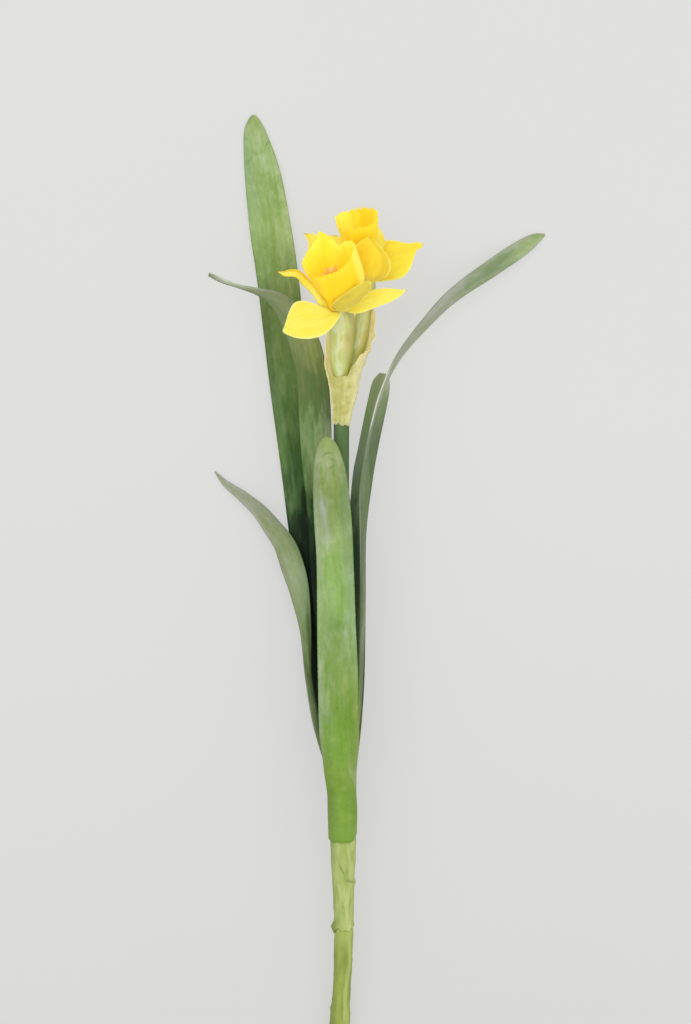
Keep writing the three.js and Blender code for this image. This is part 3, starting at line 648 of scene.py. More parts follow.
BENT_LEAF = [
    (-3.4, 156, 14.2, 2, -50, 5), (-4.6, 180, 14.6, 5, -14, 10), (-6, 215, 15.4, 9, 0, 16),
    (-8, 250, 16, 11.5, 0, 18), (-10, 300, 17, 14, 0, 18), (-12.3, 332, 18, 15.5, 0, 18),
    (-13.9, 362, 19.5, 16, 0, 18), (-17.3, 382, 22, 15.5, 0, 18), (-23.5, 397, 24.5, 13.5, 0, 16),
    (-31.5, 406.5, 25.5, 9.5, -14, 12), (-41, 410.9, 25, 4.8, -40, 8), (-52.5, 414.2, 23.5, 3.8, -62, 8),
    (-60, 417, 22.5, 3.2, -46, 8), (-66.3, 420, 22, 1.8, -30, 5),
]
# The bent leaf's colours hold painted shade in the near-black rows at the foot and a painted highlight in the
# near-white right-hand colours near the tip.
BENT_DYES_AND_SHADING = [
    (282, (14, 32, 18), (16, 34, 18), (18, 36, 20)), (300, (32, 56, 26), (40, 64, 30), (44, 68, 32)),
    (314, (78, 106, 52), (96, 120, 70), (130, 150, 100)),
    (330, (118, 143, 92), (134, 152, 102), (148, 162, 104)),
    (342, (114, 142, 88), (136, 160, 110), (144, 160, 120)),
    (354, (96, 120, 62), (94, 118, 66), (98, 118, 74)), (366, (98, 116, 68), (98, 116, 70), (106, 123, 78)),
    (378, (106, 121, 71), (128, 140, 88), (140, 151, 97)),
    (390, (124, 135, 86), (148, 157, 102), (158, 166, 110)),
    (404, (122, 134, 100), (128, 140, 102), (126, 136, 98)),
    (410, (112, 124, 84), (130, 140, 106), (146, 152, 128)),
    (413, (88, 104, 66), (150, 158, 132), (206, 210, 196)),
    (416, (90, 106, 68), (172, 178, 158), (216, 219, 206)),
    (419, (110, 122, 88), (150, 156, 136), (172, 177, 157)),
]
make_leaf("bent_leaf", "old_leaf", BENT_LEAF, BENT_DYES_AND_SHADING, (7, 1, 2), 24, 300, frayed(2.0), bloom=0.3)

LOW_LEFT_LEAF = [
    (-4.4, 158, 18, 2.2, -80, 5), (-6.2, 170, 18.2, 3.6, -78, 8), (-9.6, 182, 16.9, 5, -66, 12),
    (-12.8, 196, 17, 6.6, -56, 16), (-16.7, 218, 16.6, 8, -64, 18), (-18.4, 241, 15.4, 9.5, -54, 20),
    (-21, 260, 13.6, 11, -30, 20), (-24, 272, 12.2, 12, -16, 18), (-28.2, 284.3, 10.4, 10.8, 0, 16),
    (-35, 294, 8.2, 9.2, 0, 14), (-41.3, 301.8, 6, 7.4, 0, 10), (-50, 309.3, 3.6, 5.4, 0, 8),
    (-58, 315.4, 1.7, 3.4, 0, 5), (-63.3, 321.3, 0.7, 0.6, 0, 5),
]
# The low left leaf's colours hold painted shade in the dark right-hand colours near the foot, with its own
# grey-greens.
LOW_LEFT_DYES_AND_SHADING = [
    (190, (118, 130, 96), (92, 106, 66), (60, 74, 44)), (205, (130, 141, 108), (92, 108, 68), (40, 56, 30)),
    (218, (120, 131, 96), (76, 92, 52), (34, 50, 26)), (234, (120, 132, 95), (104, 122, 72), (58, 78, 40)),
    (246, (134, 147, 118), (122, 140, 94), (84, 104, 62)),
    (260, (138, 150, 114), (138, 155, 112), (120, 138, 96)),
    (270, (138, 148, 116), (150, 166, 124), (138, 158, 118)),
    (282, (138, 148, 112), (140, 154, 108), (132, 147, 108)),
    (294, (152, 156, 136), (136, 149, 106), (138, 146, 124)),
    (302, (156, 160, 144), (139, 149, 122), (142, 148, 130)),
    (312, (158, 161, 148), (150, 155, 136), (156, 160, 142)),
    (319, (176, 178, 168), (164, 166, 152), (176, 178, 166)),
]
make_leaf("low_left_leaf", "grey_leaf", LOW_LEFT_LEAF, LOW_LEFT_DYES_AND_SHADING, (3, 8, 3), 24, 240, frayed(3.0))

LONG_RIGHT_LEAF = [
    (5.2, 158, 18.4, 2.2, 80, 5), (6.2, 172, 18.8, 3.8, 80, 8), (7.6, 186, 19.2, 5.4, 78, 8),
    (9.3, 202, 21.2, 6.6, 76, 10), (10.4, 226, 23.4, 7.8, 74, 12), (11.1, 250, 24.6, 8.6, 74, 12),
    (11.2, 285, 25.6, 8.8, 73, 12), (12, 312, 26.2, 8.8, 56, 12), (13.3, 331, 26.4, 9, 76, 12),
    (16.2, 346, 26.4, 9, 84, 12), (20.6, 361, 25.6, 8.6, 82, 12), (28.8, 378, 23, 8.2, 72, 12),
    (42, 394.5, 18.5, 8, 54, 12), (56.7, 409.7, 12.8, 8.4, 36, 12), (77.4, 424.6, 6.2, 8.8, 12, 10),
    (90.3, 433.3, 2.8, 8.2, 0, 8), (97.5, 438, 1.3, 5.6, 0, 5), (102.3, 440.2, 0.8, 0.8, 0, 5),
]
# The long right leaf's colours hold painted shade and painted light along with its own grey-greens.
LONG_RIGHT_DYES_AND_SHADING = [
    (190, (124, 148, 74), (130, 148, 88), (140, 152, 108)),
    (206, (108, 132, 72), (102, 122, 74), (112, 128, 92)),
    (224, (98, 116, 78), (104, 118, 88), (116, 130, 100)),
    (245, (96, 111, 76), (132, 146, 114), (128, 142, 112)),
    (266, (88, 108, 70), (118, 131, 104), (112, 126, 97)),
    (288, (98, 114, 90), (112, 126, 99), (108, 124, 92)),
    (304, (100, 117, 80), (104, 122, 82), (108, 126, 88)),
    (318, (110, 127, 92), (113, 129, 96), (112, 129, 94)),
    (334, (128, 140, 116), (114, 129, 102), (108, 123, 96)),
    (346, (150, 162, 136), (140, 152, 126), (120, 133, 108)),
    (360, (142, 153, 122), (160, 170, 144), (150, 160, 136)),
    (378, (160, 166, 148), (156, 160, 140), (172, 178, 158)),
    (396, (160, 163, 146), (154, 158, 136), (160, 164, 144)),
    (410, (160, 164, 148), (152, 158, 134), (150, 160, 134)),
    (418, (156, 162, 142), (130, 146, 110), (146, 156, 128)),
    (427, (154, 164, 142), (118, 139, 96), (128, 146, 106)),
    (433, (160, 168, 142), (150, 168, 118), (154, 172, 124)),
    (439, (152, 160, 126), (152, 168, 114), (160, 172, 132)),
]
LIT_EDGES = [(-1, 338, 378, 0.3, 0.85), (-1, 262, 320, 0.16, 0.2)]
make_leaf("long_right_leaf", "grey_leaf", LONG_RIGHT_LEAF, LONG_RIGHT_DYES_AND_SHADING, (9, 3, 4), 24, 320, frayed(4.0),
          lit_edges=LIT_EDGES)

SHORT_RIGHT_LEAF = [
    (3.3, 162, 13.2, 2, 34, 5), (4.4, 172, 12.4, 3.6, 24, 8), (6.2, 184, 12, 6, 14, 10),
    (7.6, 215, 12.2, 8, 6, 16), (8, 255, 12.6, 8.6, 0, 18), (8.2, 290, 13.4, 8.8, 0, 18),
    (10.7, 317, 14.2, 10.1, 0, 18), (13.35, 332, 14.8, 9.8, 0, 18), (15.95, 345, 15.4, 9.9, 0, 18),
    (18.5, 357, 16, 9.8, 0, 16), (20.2, 366, 16.6, 8.5, 0, 12), (20.8, 370.5, 16.9, 3, 0, 8),
]
# The short right leaf's colours hold painted shade: the dark rows low down stand for the shade on its inner
# face.
SHORT_RIGHT_DYES_AND_SHADING = [
    (228, (80, 96, 66), (80, 96, 66), (80, 98, 64)), (245, (62, 78, 54), (62, 77, 54), (80, 97, 62)),
    (262, (50, 66, 44), (45, 61, 38), (84, 102, 66)), (280, (43, 58, 37), (47, 64, 41), (94, 110, 80)),
    (300, (50, 68, 48), (92, 112, 80), (100, 117, 86)),
    (310, (90, 106, 82), (112, 133, 94), (109, 130, 90)),
    (322, (114, 129, 104), (105, 123, 88), (104, 124, 88)),
    (334, (120, 133, 108), (106, 124, 90), (98, 117, 84)),
    (346, (123, 141, 100), (120, 135, 103), (110, 125, 93)),
    (358, (130, 151, 97), (132, 148, 108), (132, 148, 110)),
    (368, (158, 164, 138), (150, 160, 116), (166, 172, 146)),
]
make_leaf("short_right_leaf", "old_leaf", SHORT_RIGHT_LEAF, SHORT_RIGHT_DYES_AND_SHADING, (4, 6, 5), 24, 220, frayed(5.0))

FRONT_LEAF = [
    (0.8, 134.5, 22.4, 13.6, 0, 174), (0.75, 150, 23.6, 14.4, 0, 170), (0.4, 160, 24.7, 14.3, 0, 148),
    (-0.3, 171, 26.6, 16.2, 0, 104), (-0.8, 186, 29.4, 19.4, 0, 66), (-1.2, 203, 30.9, 19.8, 0, 48),
    (-1.8, 228, 32.6, 19.7, 0, 38), (-2.4, 249, 34.2, 19, 0, 34), (-3, 277, 36.2, 18.3, 0, 30),
    (-4.2, 298, 38.2, 18.6, 0, 28), (-5.5, 317.5, 40.6, 17, 0, 24), (-6.5, 329.5, 42.3, 12.6, 0, 20),
    (-6.9, 335.4, 43.2, 8.2, 0, 14), (-6.8, 338.3, 43.6, 3, 0, 8),
]
# The front leaf's colours hold painted shade and painted light along with its own greens.
FRONT_DYES_AND_SHADING = [
    (139, (110, 135, 62), (124, 155, 64), (142, 164, 98)),
    (150, (106, 131, 56), (120, 152, 60), (134, 158, 88)),
    (164, (102, 124, 58), (116, 147, 54), (146, 162, 108)),
    (180, (124, 150, 84), (121, 156, 64), (130, 154, 80)),
    (200, (140, 162, 112), (112, 146, 57), (128, 151, 72)),
    (220, (144, 165, 116), (124, 152, 76), (130, 156, 84)),
    (240, (132, 158, 96), (121, 150, 82), (148, 170, 122)),
    (260, (142, 166, 108), (144, 175, 104), (134, 162, 104)),
    (276, (150, 168, 122), (140, 170, 98), (132, 158, 102)),
    (290, (152, 166, 130), (146, 168, 108), (134, 156, 102)),
    (304, (146, 158, 130), (122, 144, 76), (124, 144, 96)),
    (316, (134, 146, 114), (126, 146, 76), (122, 142, 88)),
    (326, (138, 151, 110), (159, 171, 123), (150, 163, 116)),
    (335, (142, 157, 104), (154, 169, 110), (146, 160, 104)),
]
FRONT_CREASES = [
    (330.5, -0.05, 0.45, 1, -7, 1), (327, 0.25, 0.25, -4, 8, 0.9), (323, 0.1, 0.3, 3, 9, 0.6),
    (326, -0.6, 0.2, 8, 0, 0.4), (318, 0.5, 0.2, -6, 4, 0.4), (135.8, 0, 0.6, 0, 6.6, 0.6),
]
SLEEVE_REACH = 170.36
SLEEVE_END = 0.05
front_edges = frayed(6.0, 0.3, 0.35)


def torn_sleeve(u, share):
    """The foot of the leaf is a sleeve, cut round on a curve and torn up at its right side."""
    stretch, lift, widen = front_edges(u, share)
    torn = 1.2 + 2.2 * min(1.0, u * u * 3) + 4.4 * hump(u, 0.46, 0.11)
    torn += 0.5 * uneven(u * 9, 3.0, 1.0)
    return stretch + torn / SLEEVE_REACH * max(0.0, 1 - share / SLEEVE_END), lift, widen


make_leaf("front_leaf", "green_leaf", FRONT_LEAF, FRONT_DYES_AND_SHADING, (6, 2, 6), 96, 400, torn_sleeve,
          FRONT_CREASES, bloom=0.48, flush=0.6)


# The spathe: a sheath of dry crinkled paper, glued round the top of the scape. Its front edge is low, where
# the flower tubes come out, and its upper edges behind them are torn thin and have dried brown.
def sheath_finish(name, dull, pale, glow):
    """Both faces of the paper: mottled, torn brown and peach at the edge, paler up both sides, with painted
    shade in an olive band left of the front, and thin enough to let light by; that light is painted in as a
    glow.
    """
    material, tree, shader = new_material(name)
    fibres = stretched(tree, 100, 60, (1, 2, 3))
    patches = stretched(tree, 24, 20, (2, 3, 4))
    puckers = stretched(tree, 60, 46, (3, 5, 4))
    veins = stretched(tree, 70, 8, (5, 3, 4))
    flecks = stretched(tree, 40, 34, (6, 3, 4))
    along = trait(tree, "along")
    turned = trait(tree, "turned")
    ground = mixed(tree, ramped(tree, patches, 0.38, 0.62), dull, pale)
    ground = tinted(tree, ramped(tree, puckers, 0.46, 0.6, 0.7), ground, (0.9, 0.9, 0.81))
    ground = tinted(tree, ramped(tree, veins, 0.5, 0.66, 0.5), ground, (0.88, 0.88, 0.792))
    dried = times(tree, ramped(tree, along, 0.88, 0.98), ramped(tree, trait(tree, "across"), 0.2, 0.45))
    ground = laid_over(tree, ground, [
        (ramped(tree, flecks, 0.58, 0.7, 0.4), card_colour(206, 172, 118)),
        (times(tree, dried, 0.8), card_colour(228, 190, 138)),
        (times(tree, dried, ramped(tree, flecks, 0.48, 0.56, 0.6)), card_colour(196, 132, 76)),
        (ramped(tree, turned, 0.14, 0.28, 0.6), card_colour(234, 226, 172)),
        (ramped(tree, turned, -0.34, -0.44, 0.75), card_colour(234, 226, 174)),
        # Painted shade in the olive band left of the front.
        (band(tree, turned, -0.34, -0.24, -0.08, 0.02, 0.4), card_colour(172, 172, 94)),
        (ramped(tree, along, 0.09, 0.0, 0.6), card_colour(206, 208, 168)),
    ])
    wire(tree, shader, {"Base Color": ground, "Emission Color": ground, "Emission Strength": glow,
                        "Roughness": 0.85, "Specular IOR Level": 0.2,
                        "Normal": bumped(tree, times(tree, fibres, puckers, "ADD"), 0.6, 0.0008)})
    return material


spathe_outside = sheath_finish("spathe_outside", card_colour(188, 185, 110), card_colour(204, 201, 134), 0.05)
spathe_lining = sheath_finish("spathe_lining", card_colour(206, 196, 134), card_colour(226, 218, 164), 0.34)

SPATHE_THICKNESS = 0.3
GATHER_HEIGHT = 352
FOLDS_FROM = 343
FLAT_BACK_FROM = 360
RAGGED_SIDE_FROM = 374
SPATHE = [
    (0, 344.2, 31.8, 4.15), (0.75, 352, 32.2, 4.75), (1.3, 359.4, 32.4, 6.1), (1.5, 366.9, 32.4, 7.6),
    (1.4, 374.3, 32.3, 9.3), (2.8, 381.7, 32, 10.6), (4.4, 389.2, 31.5, 11.7), (5.4, 396.6, 31.2, 11.9),
    (5.5, 404, 31.2, 11.6),
]
SPATHE_EDGE = [
    (368.4,), (369.1,), (374,), (380.4,), (382.6,), (385.1,), (391,), (400,), (403,), (403.5,), (404,),
    (404,), (404,), (403.8,), (403.5,), (402.2,), (401,), (396,), (384,), (377.5,), (375.5,), (369.6,),
    (367.9,), (368.1,),
]
SPATHE_FOOT = SPATHE[0][1]
SPATHE_HEIGHT = SPATHE[-1][1] - SPATHE_FOOT


def ring_through(rows, turn):
    """The row at that share of a full turn through rows that close on themselves."""
    place = (turn % 1.0) * len(rows)
    step = int(place) % len(rows)
    return blended(*(rows[(step + k) % len(rows)] for k in (-1, 0, 1, 2)), place - int(place))


def edge_reach(turn):
    """How far the paper reaches up from its foot, at that turn from the front, -1 to 1."""
    return ring_through(SPATHE_EDGE, turn / 2)[0] - SPATHE_FOOT


def sheath_crinkle(angle, share, y):
    """Crinkles all over, deepest where the paper was gathered round the scape."""
    pleats = 0.07 * math.sin(11 * angle + 0.8 * math.sin(y * 0.2))
    edge = 0.5 * hump(share, 1, 0.04) * math.sin(5 * angle + 1)
    folds = 0.7 * max(0.0, 0.45 - abs(uneven_round(angle, 5, y * 0.34))) * min(1.0, (y - FOLDS_FROM) / 4)
    soft = (0.3 + 0.2 * hump(y, GATHER_HEIGHT, 8)) * uneven_round(angle, 2.4, y * 0.22)
    return soft + 0.16 * uneven_round(angle, 7, y * 0.6) + folds + pleats + edge


def spathe_flat(turn, share):
    reach = share * edge_reach(turn)
    return turn * math.pi * through(SPATHE, reach / SPATHE_HEIGHT)[3], reach


mesh, across, along = start_sheet(160, 150, spathe_flat)
turned = mesh.verts.layers.float.new("turned")
for vert in mesh.verts:
    angle = vert[across] * math.pi
    torn = uneven_round(angle, 6, 3.0)
    shred = uneven_round(angle, 16, 8.0)
    high = abs(vert[across])
    right_side = max(0.0, math.sin(angle))
    reach = edge_reach(vert[across])
    reach += (0.4 + 1.4 * high) * torn + (0.2 + 0.8 * high + 0.8 * right_side) * shred
    frill = (3.6 * abs(shred) + 2.4 * abs(torn)) * (1 - vert[along]) ** 8
    share = (vert[along] * reach + frill) / SPATHE_HEIGHT
    x, y, z, radius = through(SPATHE, share)
    jag = uneven(y * 0.28, 4.0, 2.0) + 0.5 * uneven(y * 0.7, 4.0, 6.0)
    radius += sheath_crinkle(angle, vert[along], y)
    radius += 1.1 * right_side ** 4 * jag * clamped((y - RAGGED_SIDE_FROM) / 6)
    flat_back = 1 - 0.3 * clamped((y - FLAT_BACK_FROM) / 15) * max(0.0, -math.cos(angle))
    vert.co = on_skin(SPATHE, share, angle, radius, flat_back)
    vert[turned] = vert[across]
    vert[across] = high
close_seam(mesh)
finish_piece("papery_spathe", "spathe", "spathe", mesh, [spathe_lining, spathe_outside], SPATHE_THICKNESS)


# The flower tubes: under each bloom a swollen green ovary runs up into a straw-coloured tube. They are
# moulded, satin to the touch, with pale and green streaks along them.
tube_straw, tree, shader = new_material("tube_straw")
streaks = stretched(tree, 50, 3, (4, 2, 8))
round_tube = wandering(tree, "turned", 26, 12, (6, 4, 8), 0.1)
straw = laid_over(tree, card_colour(188, 194, 102), [
    (ramped(tree, streaks, 0.35, 0.65), card_colour(208, 208, 130)),
    (ramped(tree, stretched(tree, 16, 9, (4, 6, 8)), 0.5, 0.64, 0.7), card_colour(216, 196, 130)),
])
wire(tree, shader, {
    "Base Color": laid_over(tree, card_colour(176, 192, 108), [
        (ramped(tree, trait(tree, "along"), 0.15, 0.6), straw),
        # A painted highlight in a band just left of the tube's middle, and painted shade down its right side.
        (band(tree, round_tube, -0.24, -0.1, -0.06, 0.06, 0.55), card_colour(218, 230, 184)),
        (ramped(tree, round_tube, 0.06, 0.34, 0.7), card_colour(164, 162, 76)),
    ]),
    "Roughness": 0.4,
    "Normal": bumped(tree, streaks, 0.3, 0.0004),
})

FLOWER_TUBES = {
    "front_flower_tube": [
        (-0.9, 350.6, 33.4, 1.3), (-0.4, 362, 34.2, 1.9), (-0.1, 368, 34.9, 3.7), (-0.2, 378, 36.6, 5.5),
        (0.1, 386, 38.2, 6), (0.2, 393, 40, 6.3), (-0.3, 398.6, 43, 6.6), (-3.05, 403.8, 46.96, 5),
    ],
    "back_flower_tube": [
        (1.9, 350.9, 31.2, 1.1), (3.4, 362, 29.6, 1.6), (4.9, 371, 28.8, 2.7), (6.9, 379, 28.2, 3.8),
        (9.2, 388, 27.6, 4.2), (10.8, 398, 27.2, 3.9), (12.6, 406.5, 27, 3.3), (13.85, 413.05, 28.6, 3.3),
        (13.06, 417.18, 30.54, 4),
    ],
}


def tube_ribs(angle, share, y):
    return (0.14 * math.cos(3 * angle + 0.6) + 0.05 * math.sin(9 * angle)) * min(1.0, share * 3)


for node, rows in FLOWER_TUBES.items():
    mesh = grow_stalk(rows, 60, 140, tube_ribs)
    finish_piece(node.replace("flower", "bloom"), node, "flower_tube", mesh, [tube_straw])


# The coronas: each trumpet is one piece of thin yellow cloth, seamed into a cup, pressed into soft pleats
# and cut into ragged lobes at its rim. The cloth is deeper golden outside and down in the throat.
petal_print, given, result = new_group("petal_print", ["Foot", "Middle", "Rim", "Shade"],
                                       ["Foot End", "Rim Start", "Edge Start"], ["Height"])
veins, folds, threads = (stretched(petal_print, wide, long, given["Seed"])
                         for wide, long in ((110, 8), (26, 7), (500, 500)))
up_petal = trait(petal_print, "along")
wire(petal_print, result, {
    "Colour": laid_over(petal_print, given["Foot"], [
        (ramped(petal_print, up_petal, 0.0, given["Foot End"]), given["Middle"]),
        (ramped(petal_print, up_petal, given["Rim Start"], 1.0), given["Rim"]),
        (ramped(petal_print, veins, 0.42, 0.7, 0.35), given["Shade"]),
        (ramped(petal_print, folds, 0.42, 0.66, 0.5), given["Shade"]),
        (ramped(petal_print, from_middle(petal_print), given["Edge Start"], 1.0, 0.8), given["Rim"]),
    ]),
    "Height": times(petal_print, veins, times(petal_print, threads, 0.3), "ADD"),
})


def petal_finish(name, dyes_and_shading, seed, foot_end=0.3, rim_start=0.8, edge_start=0.86, glow=0.06, sheen=0.3,
                 tones=()):
    """The colours are those of the foot, the middle, the rim and the shaded veins. A tone is where it comes
    in across the cloth, is full, fades and ends, and its colour; the tones are painted shade and painted
    light.
    The glow is painted light that lifts the shaded parts of the cloth."""
    material, tree, shader = new_material(name)
    foot, middle, rim, shade = (card_colour(*colour) for colour in dyes_and_shading)
    given = {"Foot": foot, "Middle": middle, "Rim": rim, "Shade": shade, "Foot End": foot_end,
             "Rim Start": rim_start, "Edge Start": edge_start, "Seed": seed}
    cloth = feed(tree, "ShaderNodeGroup", given, node_tree=petal_print).outputs
    colour = laid_over(tree, cloth["Colour"], [(band(tree, trait(tree, "across"), *ends), card_colour(*tone))
                                               for *ends, tone in tones])
    wire(tree, shader, {
        "Base Color": colour, "Emission Color": colour, "Emission Strength": glow, "Roughness": 0.7,
        "Subsurface Weight": 0.9, "Subsurface Radius": (0.9, 0.8, 0.4), "Subsurface Scale": 1.2 * MM,
        "Sheen Weight": sheen, "Specular IOR Level": 0.25,
        "Normal": bumped(tree, cloth["Height"], 0.3, 0.0005),
    })
    return material


def flower_frame(base, axis):
    """The foot of a flower, and the directions out of it, to its right and to its far side."""
    out = Vector(axis).normalized()
    right = Vector((out.y, -out.x, 0)).normalized()
    return Vector(base), out, right, out.cross(right)


FRONT_FLOWER = flower_frame((-3.1, 404.1, 47.2), (-0.13, 0.77, 0.62))
BACK_FLOWER = flower_frame((13, 417.5, 30.7), (-0.17, 0.89, 0.42))


def at_turn(flower, radius, turn, height, lean=0.0):
    """The place at that radius, turn and height in a flower, in millimetres, leaning to the right."""
    base, out, right, far = flower
    return base + right * (radius * math.cos(turn) + lean) + far * (radius * math.sin(turn)) + out * height


def axis_near(flower, place):
    """The point on the flower's axis that is level with that place."""
    foot = FOOT + flower[0] * MM
    return foot + flower[1] * (place - foot).dot(flower[1])


def face_towards(mesh, wanted):
    """Turns the whole sheet over if most of its faces look away from the wanted direction."""
    agreement = sum(face.normal.dot(wanted(face.calc_center_median())) * face.calc_area()
                    for face in mesh.faces)
    if agreement < 0:
        bmesh.ops.reverse_faces(mesh, faces=mesh.faces)


CUP_COLUMNS, CUP_STEPS = 360, 90
CUP_GIRTH = 11 * math.pi
CUP_LENGTH = 34
CUP_FLOOR = 0.14
CUP_FLOOR_HEIGHT = 0.3
CUP_FLARE = 1.6
CUP_CRIMP = 0.5
CUP_THICKNESS = 0.35
BULGE_TURN = -4


def sew_cup(flower, rim, foot, belly, bulge, pleat, pleats, seed, teeth, ragged, peak, fringe, golden, pale):
    """A cup of cloth from the flower's foot to its rim, which is given at equal turns as radius and height.
    The peak and the fringe are a turn, a reach and a height. Golden and pale tones are a turn and a reach:
    painted shade on the golden side and painted light on the pale side, passed to the finish in the across
    value."""
    mesh, across, along = start_sheet(
        CUP_COLUMNS, CUP_STEPS, lambda turn, share: (turn * CUP_GIRTH, share * CUP_LENGTH))
    for vert in mesh.verts:
        turn = vert[across] * math.pi
        degrees = math.degrees(turn)
        rim_radius, rim_height = ring_through(rim, turn / (2 * math.pi))
        level = (vert[along] - CUP_FLOOR) / (1 - CUP_FLOOR)
        if level < 0:
            radius = foot * vert[along] / CUP_FLOOR
            height = CUP_FLOOR_HEIGHT
        else:
            radius = foot + (rim_radius - foot) * level ** CUP_FLARE + belly * math.sin(math.pi * level)
            side = max(0.0, math.cos(turn - math.radians(BULGE_TURN)))
            radius += bulge * side ** 2 * math.sin(math.pi * level ** 0.62) * (1 - hump(level, 0, 0.2))
            radius += pleat * math.sin(turn * pleats + 0.7 * math.sin(2 * turn)) * level ** 1.5
            radius += CUP_CRIMP * uneven_round(turn, 7, seed) * level ** 3
            shred = uneven_round(turn, 17, 8.0) + 0.6 * uneven_round(turn, 34, 2.0)
            edge = ragged * uneven_round(turn, teeth, 5.0) + peak[2] * hump(degrees % 360, peak[0], peak[1])
            edge += fringe[2] * shred * hump(degrees % 360, fringe[0], fringe[1])
            height = CUP_FLOOR_HEIGHT + level * (rim_height + edge * level ** 6)
        # The across value carries the painted shade and painted light round the cup.
        tone = sum(sign * hump((degrees - centre + 180) % 360, 180, reach)
                   for sign, (centre, reach) in ((1, golden), (-1, pale)))
        vert.co = FOOT + at_turn(flower, radius, turn, height) * MM
        vert[across] = 0.8 * tone * clamped(level * 3)
        vert[along] = max(level, 0.0)
    close_seam(mesh)
    face_towards(mesh, lambda place: place - axis_near(flower, place))
    return mesh


# The tones on the cup's outside are painted shade in gold and painted light in pale yellow.
cup_outside = petal_finish("cup_outside", [(236, 204, 52), (249, 209, 22), (253, 219, 48), (246, 205, 30)],
                           (1, 1, 1), rim_start=0.75, sheen=0.1,
                           tones=[(0.1, 0.6, 2, 3, (240, 196, 26)), (-3, -2, -0.6, -0.1, (254, 233, 80))])
cup_lining = petal_finish("cup_lining", [(254, 208, 58), (254, 224, 62), (254, 234, 90), (251, 212, 46)],
                          (1, 5, 1), foot_end=0.8, glow=0.17, sheen=0.2)
# The back trumpet's lining is a darker copy of the front one's, painted shade, and its tones are painted
# shade and painted light.
shaded_cup_lining = petal_finish("shaded_cup_lining", [(252, 210, 54), (254, 226, 70), (252, 219, 60), (249, 209, 44)],
                          (1, 7, 1), foot_end=0.8, glow=0.12, sheen=0.2,
                          tones=[(0.1, 0.6, 2, 3, (250, 208, 40)), (-3, -2, -0.5, -0.05, (254, 236, 92))])

FRONT_RIM = [
    (14.7, 34.5), (13.7, 35), (11.6, 33.8), (10, 30.9), (10.9, 31.9), (12.7, 32.6), (14.6, 34),
    (11.9, 34.6), (11.4, 32.4), (11.6, 30.1), (12.2, 28.8), (12.5, 28), (12.6, 27.4), (12.6, 26.7),
    (12, 26.1), (11.2, 26), (10.6, 26.1), (10, 26.5), (9.6, 26.8), (9.9, 27.6), (11.2, 28.9), (12.8, 30.7),
    (13.5, 32.5), (13.9, 33.7),
]
front_cup = sew_cup(FRONT_FLOWER, FRONT_RIM, foot=5.1, belly=0.2, bulge=9.4, pleat=0.2, pleats=9, seed=3.0,
                    teeth=6.0, ragged=0.7, peak=(97, 7, 2.2), fringe=(165, 60, 1.5),
                    golden=(203, 24), pale=(348, 16))
finish_piece("front_trumpet", "front_corona", "corona", front_cup, [cup_outside, cup_lining], CUP_THICKNESS)
BACK_RIM = [
    (11.1, 33.8), (11.3, 34), (10.7, 34), (9.9, 34.2), (9, 34.3), (8.6, 34), (8.8, 34.3), (9.2, 34.3),
    (10, 34), (11.6, 33.8), (11.2, 33.3), (10.2, 32.9), (9.4, 32.5), (9.5, 32.3), (9.9, 32.2), (10.4, 32),
    (10.8, 32), (10.9, 32), (10.6, 32.1), (10.4, 32.5), (11.4, 32.5), (12.2, 33), (11.7, 33.3), (11, 33.5),
]
back_cup = sew_cup(BACK_FLOWER, BACK_RIM, foot=5.2, belly=0.8, bulge=0.0, pleat=0.3, pleats=13, seed=9.0,
                   teeth=12.0, ragged=1.6, peak=(60, 30, 0.4), fringe=(70, 90, 1.7),
                   golden=(50, 28), pale=(142, 36))
finish_piece("back_trumpet", "back_corona", "corona", back_cup, [cup_outside, shaded_cup_lining], CUP_THICKNESS)


# The tepals: six thin cloth petals round each trumpet, pressed with fine veins, cupped and twisted by hand.
# Each is given by its two edges. Their faces are clear yellow, and their backs and feet are more olive.
PETAL_COLUMNS, PETAL_STEPS = 44, 130
PETAL_THICKNESS = 0.3


def cut_petal(flower, ring, turn, spread, rails, form):
    """A petal between two edges. A row is x, y, z of one edge, then of the other, and how far the cloth
    bellies out between them. It starts on the ring round the flower's foot, at the turn and either side."""
    foot = [at_turn(flower, ring, math.radians(angle), -0.1) for angle in (turn + spread, turn - spread)]
    rows = [(*foot[0], *foot[1], 0.0)] + rails
    spine = [tuple((row[i] + row[i + 3]) / 2 for i in range(3)) for row in rows]
    reach = reach_of(spine)

    def laid_flat(u, share):
        row = through(rows, share)
        return u * (Vector(row[3:6]) - Vector(row[:3])).length / 2, reach(share)

    mesh, across, along = start_sheet(PETAL_COLUMNS, PETAL_STEPS, laid_flat)
    for vert in mesh.verts:
        u = vert[across]
        share = vert[along]
        row = through(rows, share)
        one, other = Vector(row[:3]), Vector(row[3:6])
        side = other - one
        face = heading(spine, share).cross(side).normalized()
        lift = row[6] * (1 - u * u) + form(u, share) * min(1.0, side.length / 4)
        vert.co = FOOT + ((one + other) / 2 + side * (u / 2) + face * lift) * MM
    bmesh.ops.recalc_face_normals(mesh, faces=mesh.faces)
    face_towards(mesh, lambda place: flower[1] * 0.02 + axis_near(flower, place) - place)
    return mesh


def pressed(seed, fold_depth):
    """Pressed veins, a soft fold down the middle and a waving edge."""
    def form(u, share):
        side = 1.0 if u > 0 else -1.0
        wave = 0.5 * abs(u) ** 2.5 * uneven(share * 4.0, side * 2.0, seed)
        soft = 0.5 * uneven(share * 3.0, u * 1.6, seed + 3.0)
        fold = -fold_depth * hump(u, 0, 0.12) * math.sin(math.pi * min(1, share * 1.1)) * 0.5
        return wave + fold + soft + 0.03 * math.sin(u * 26)
    return form


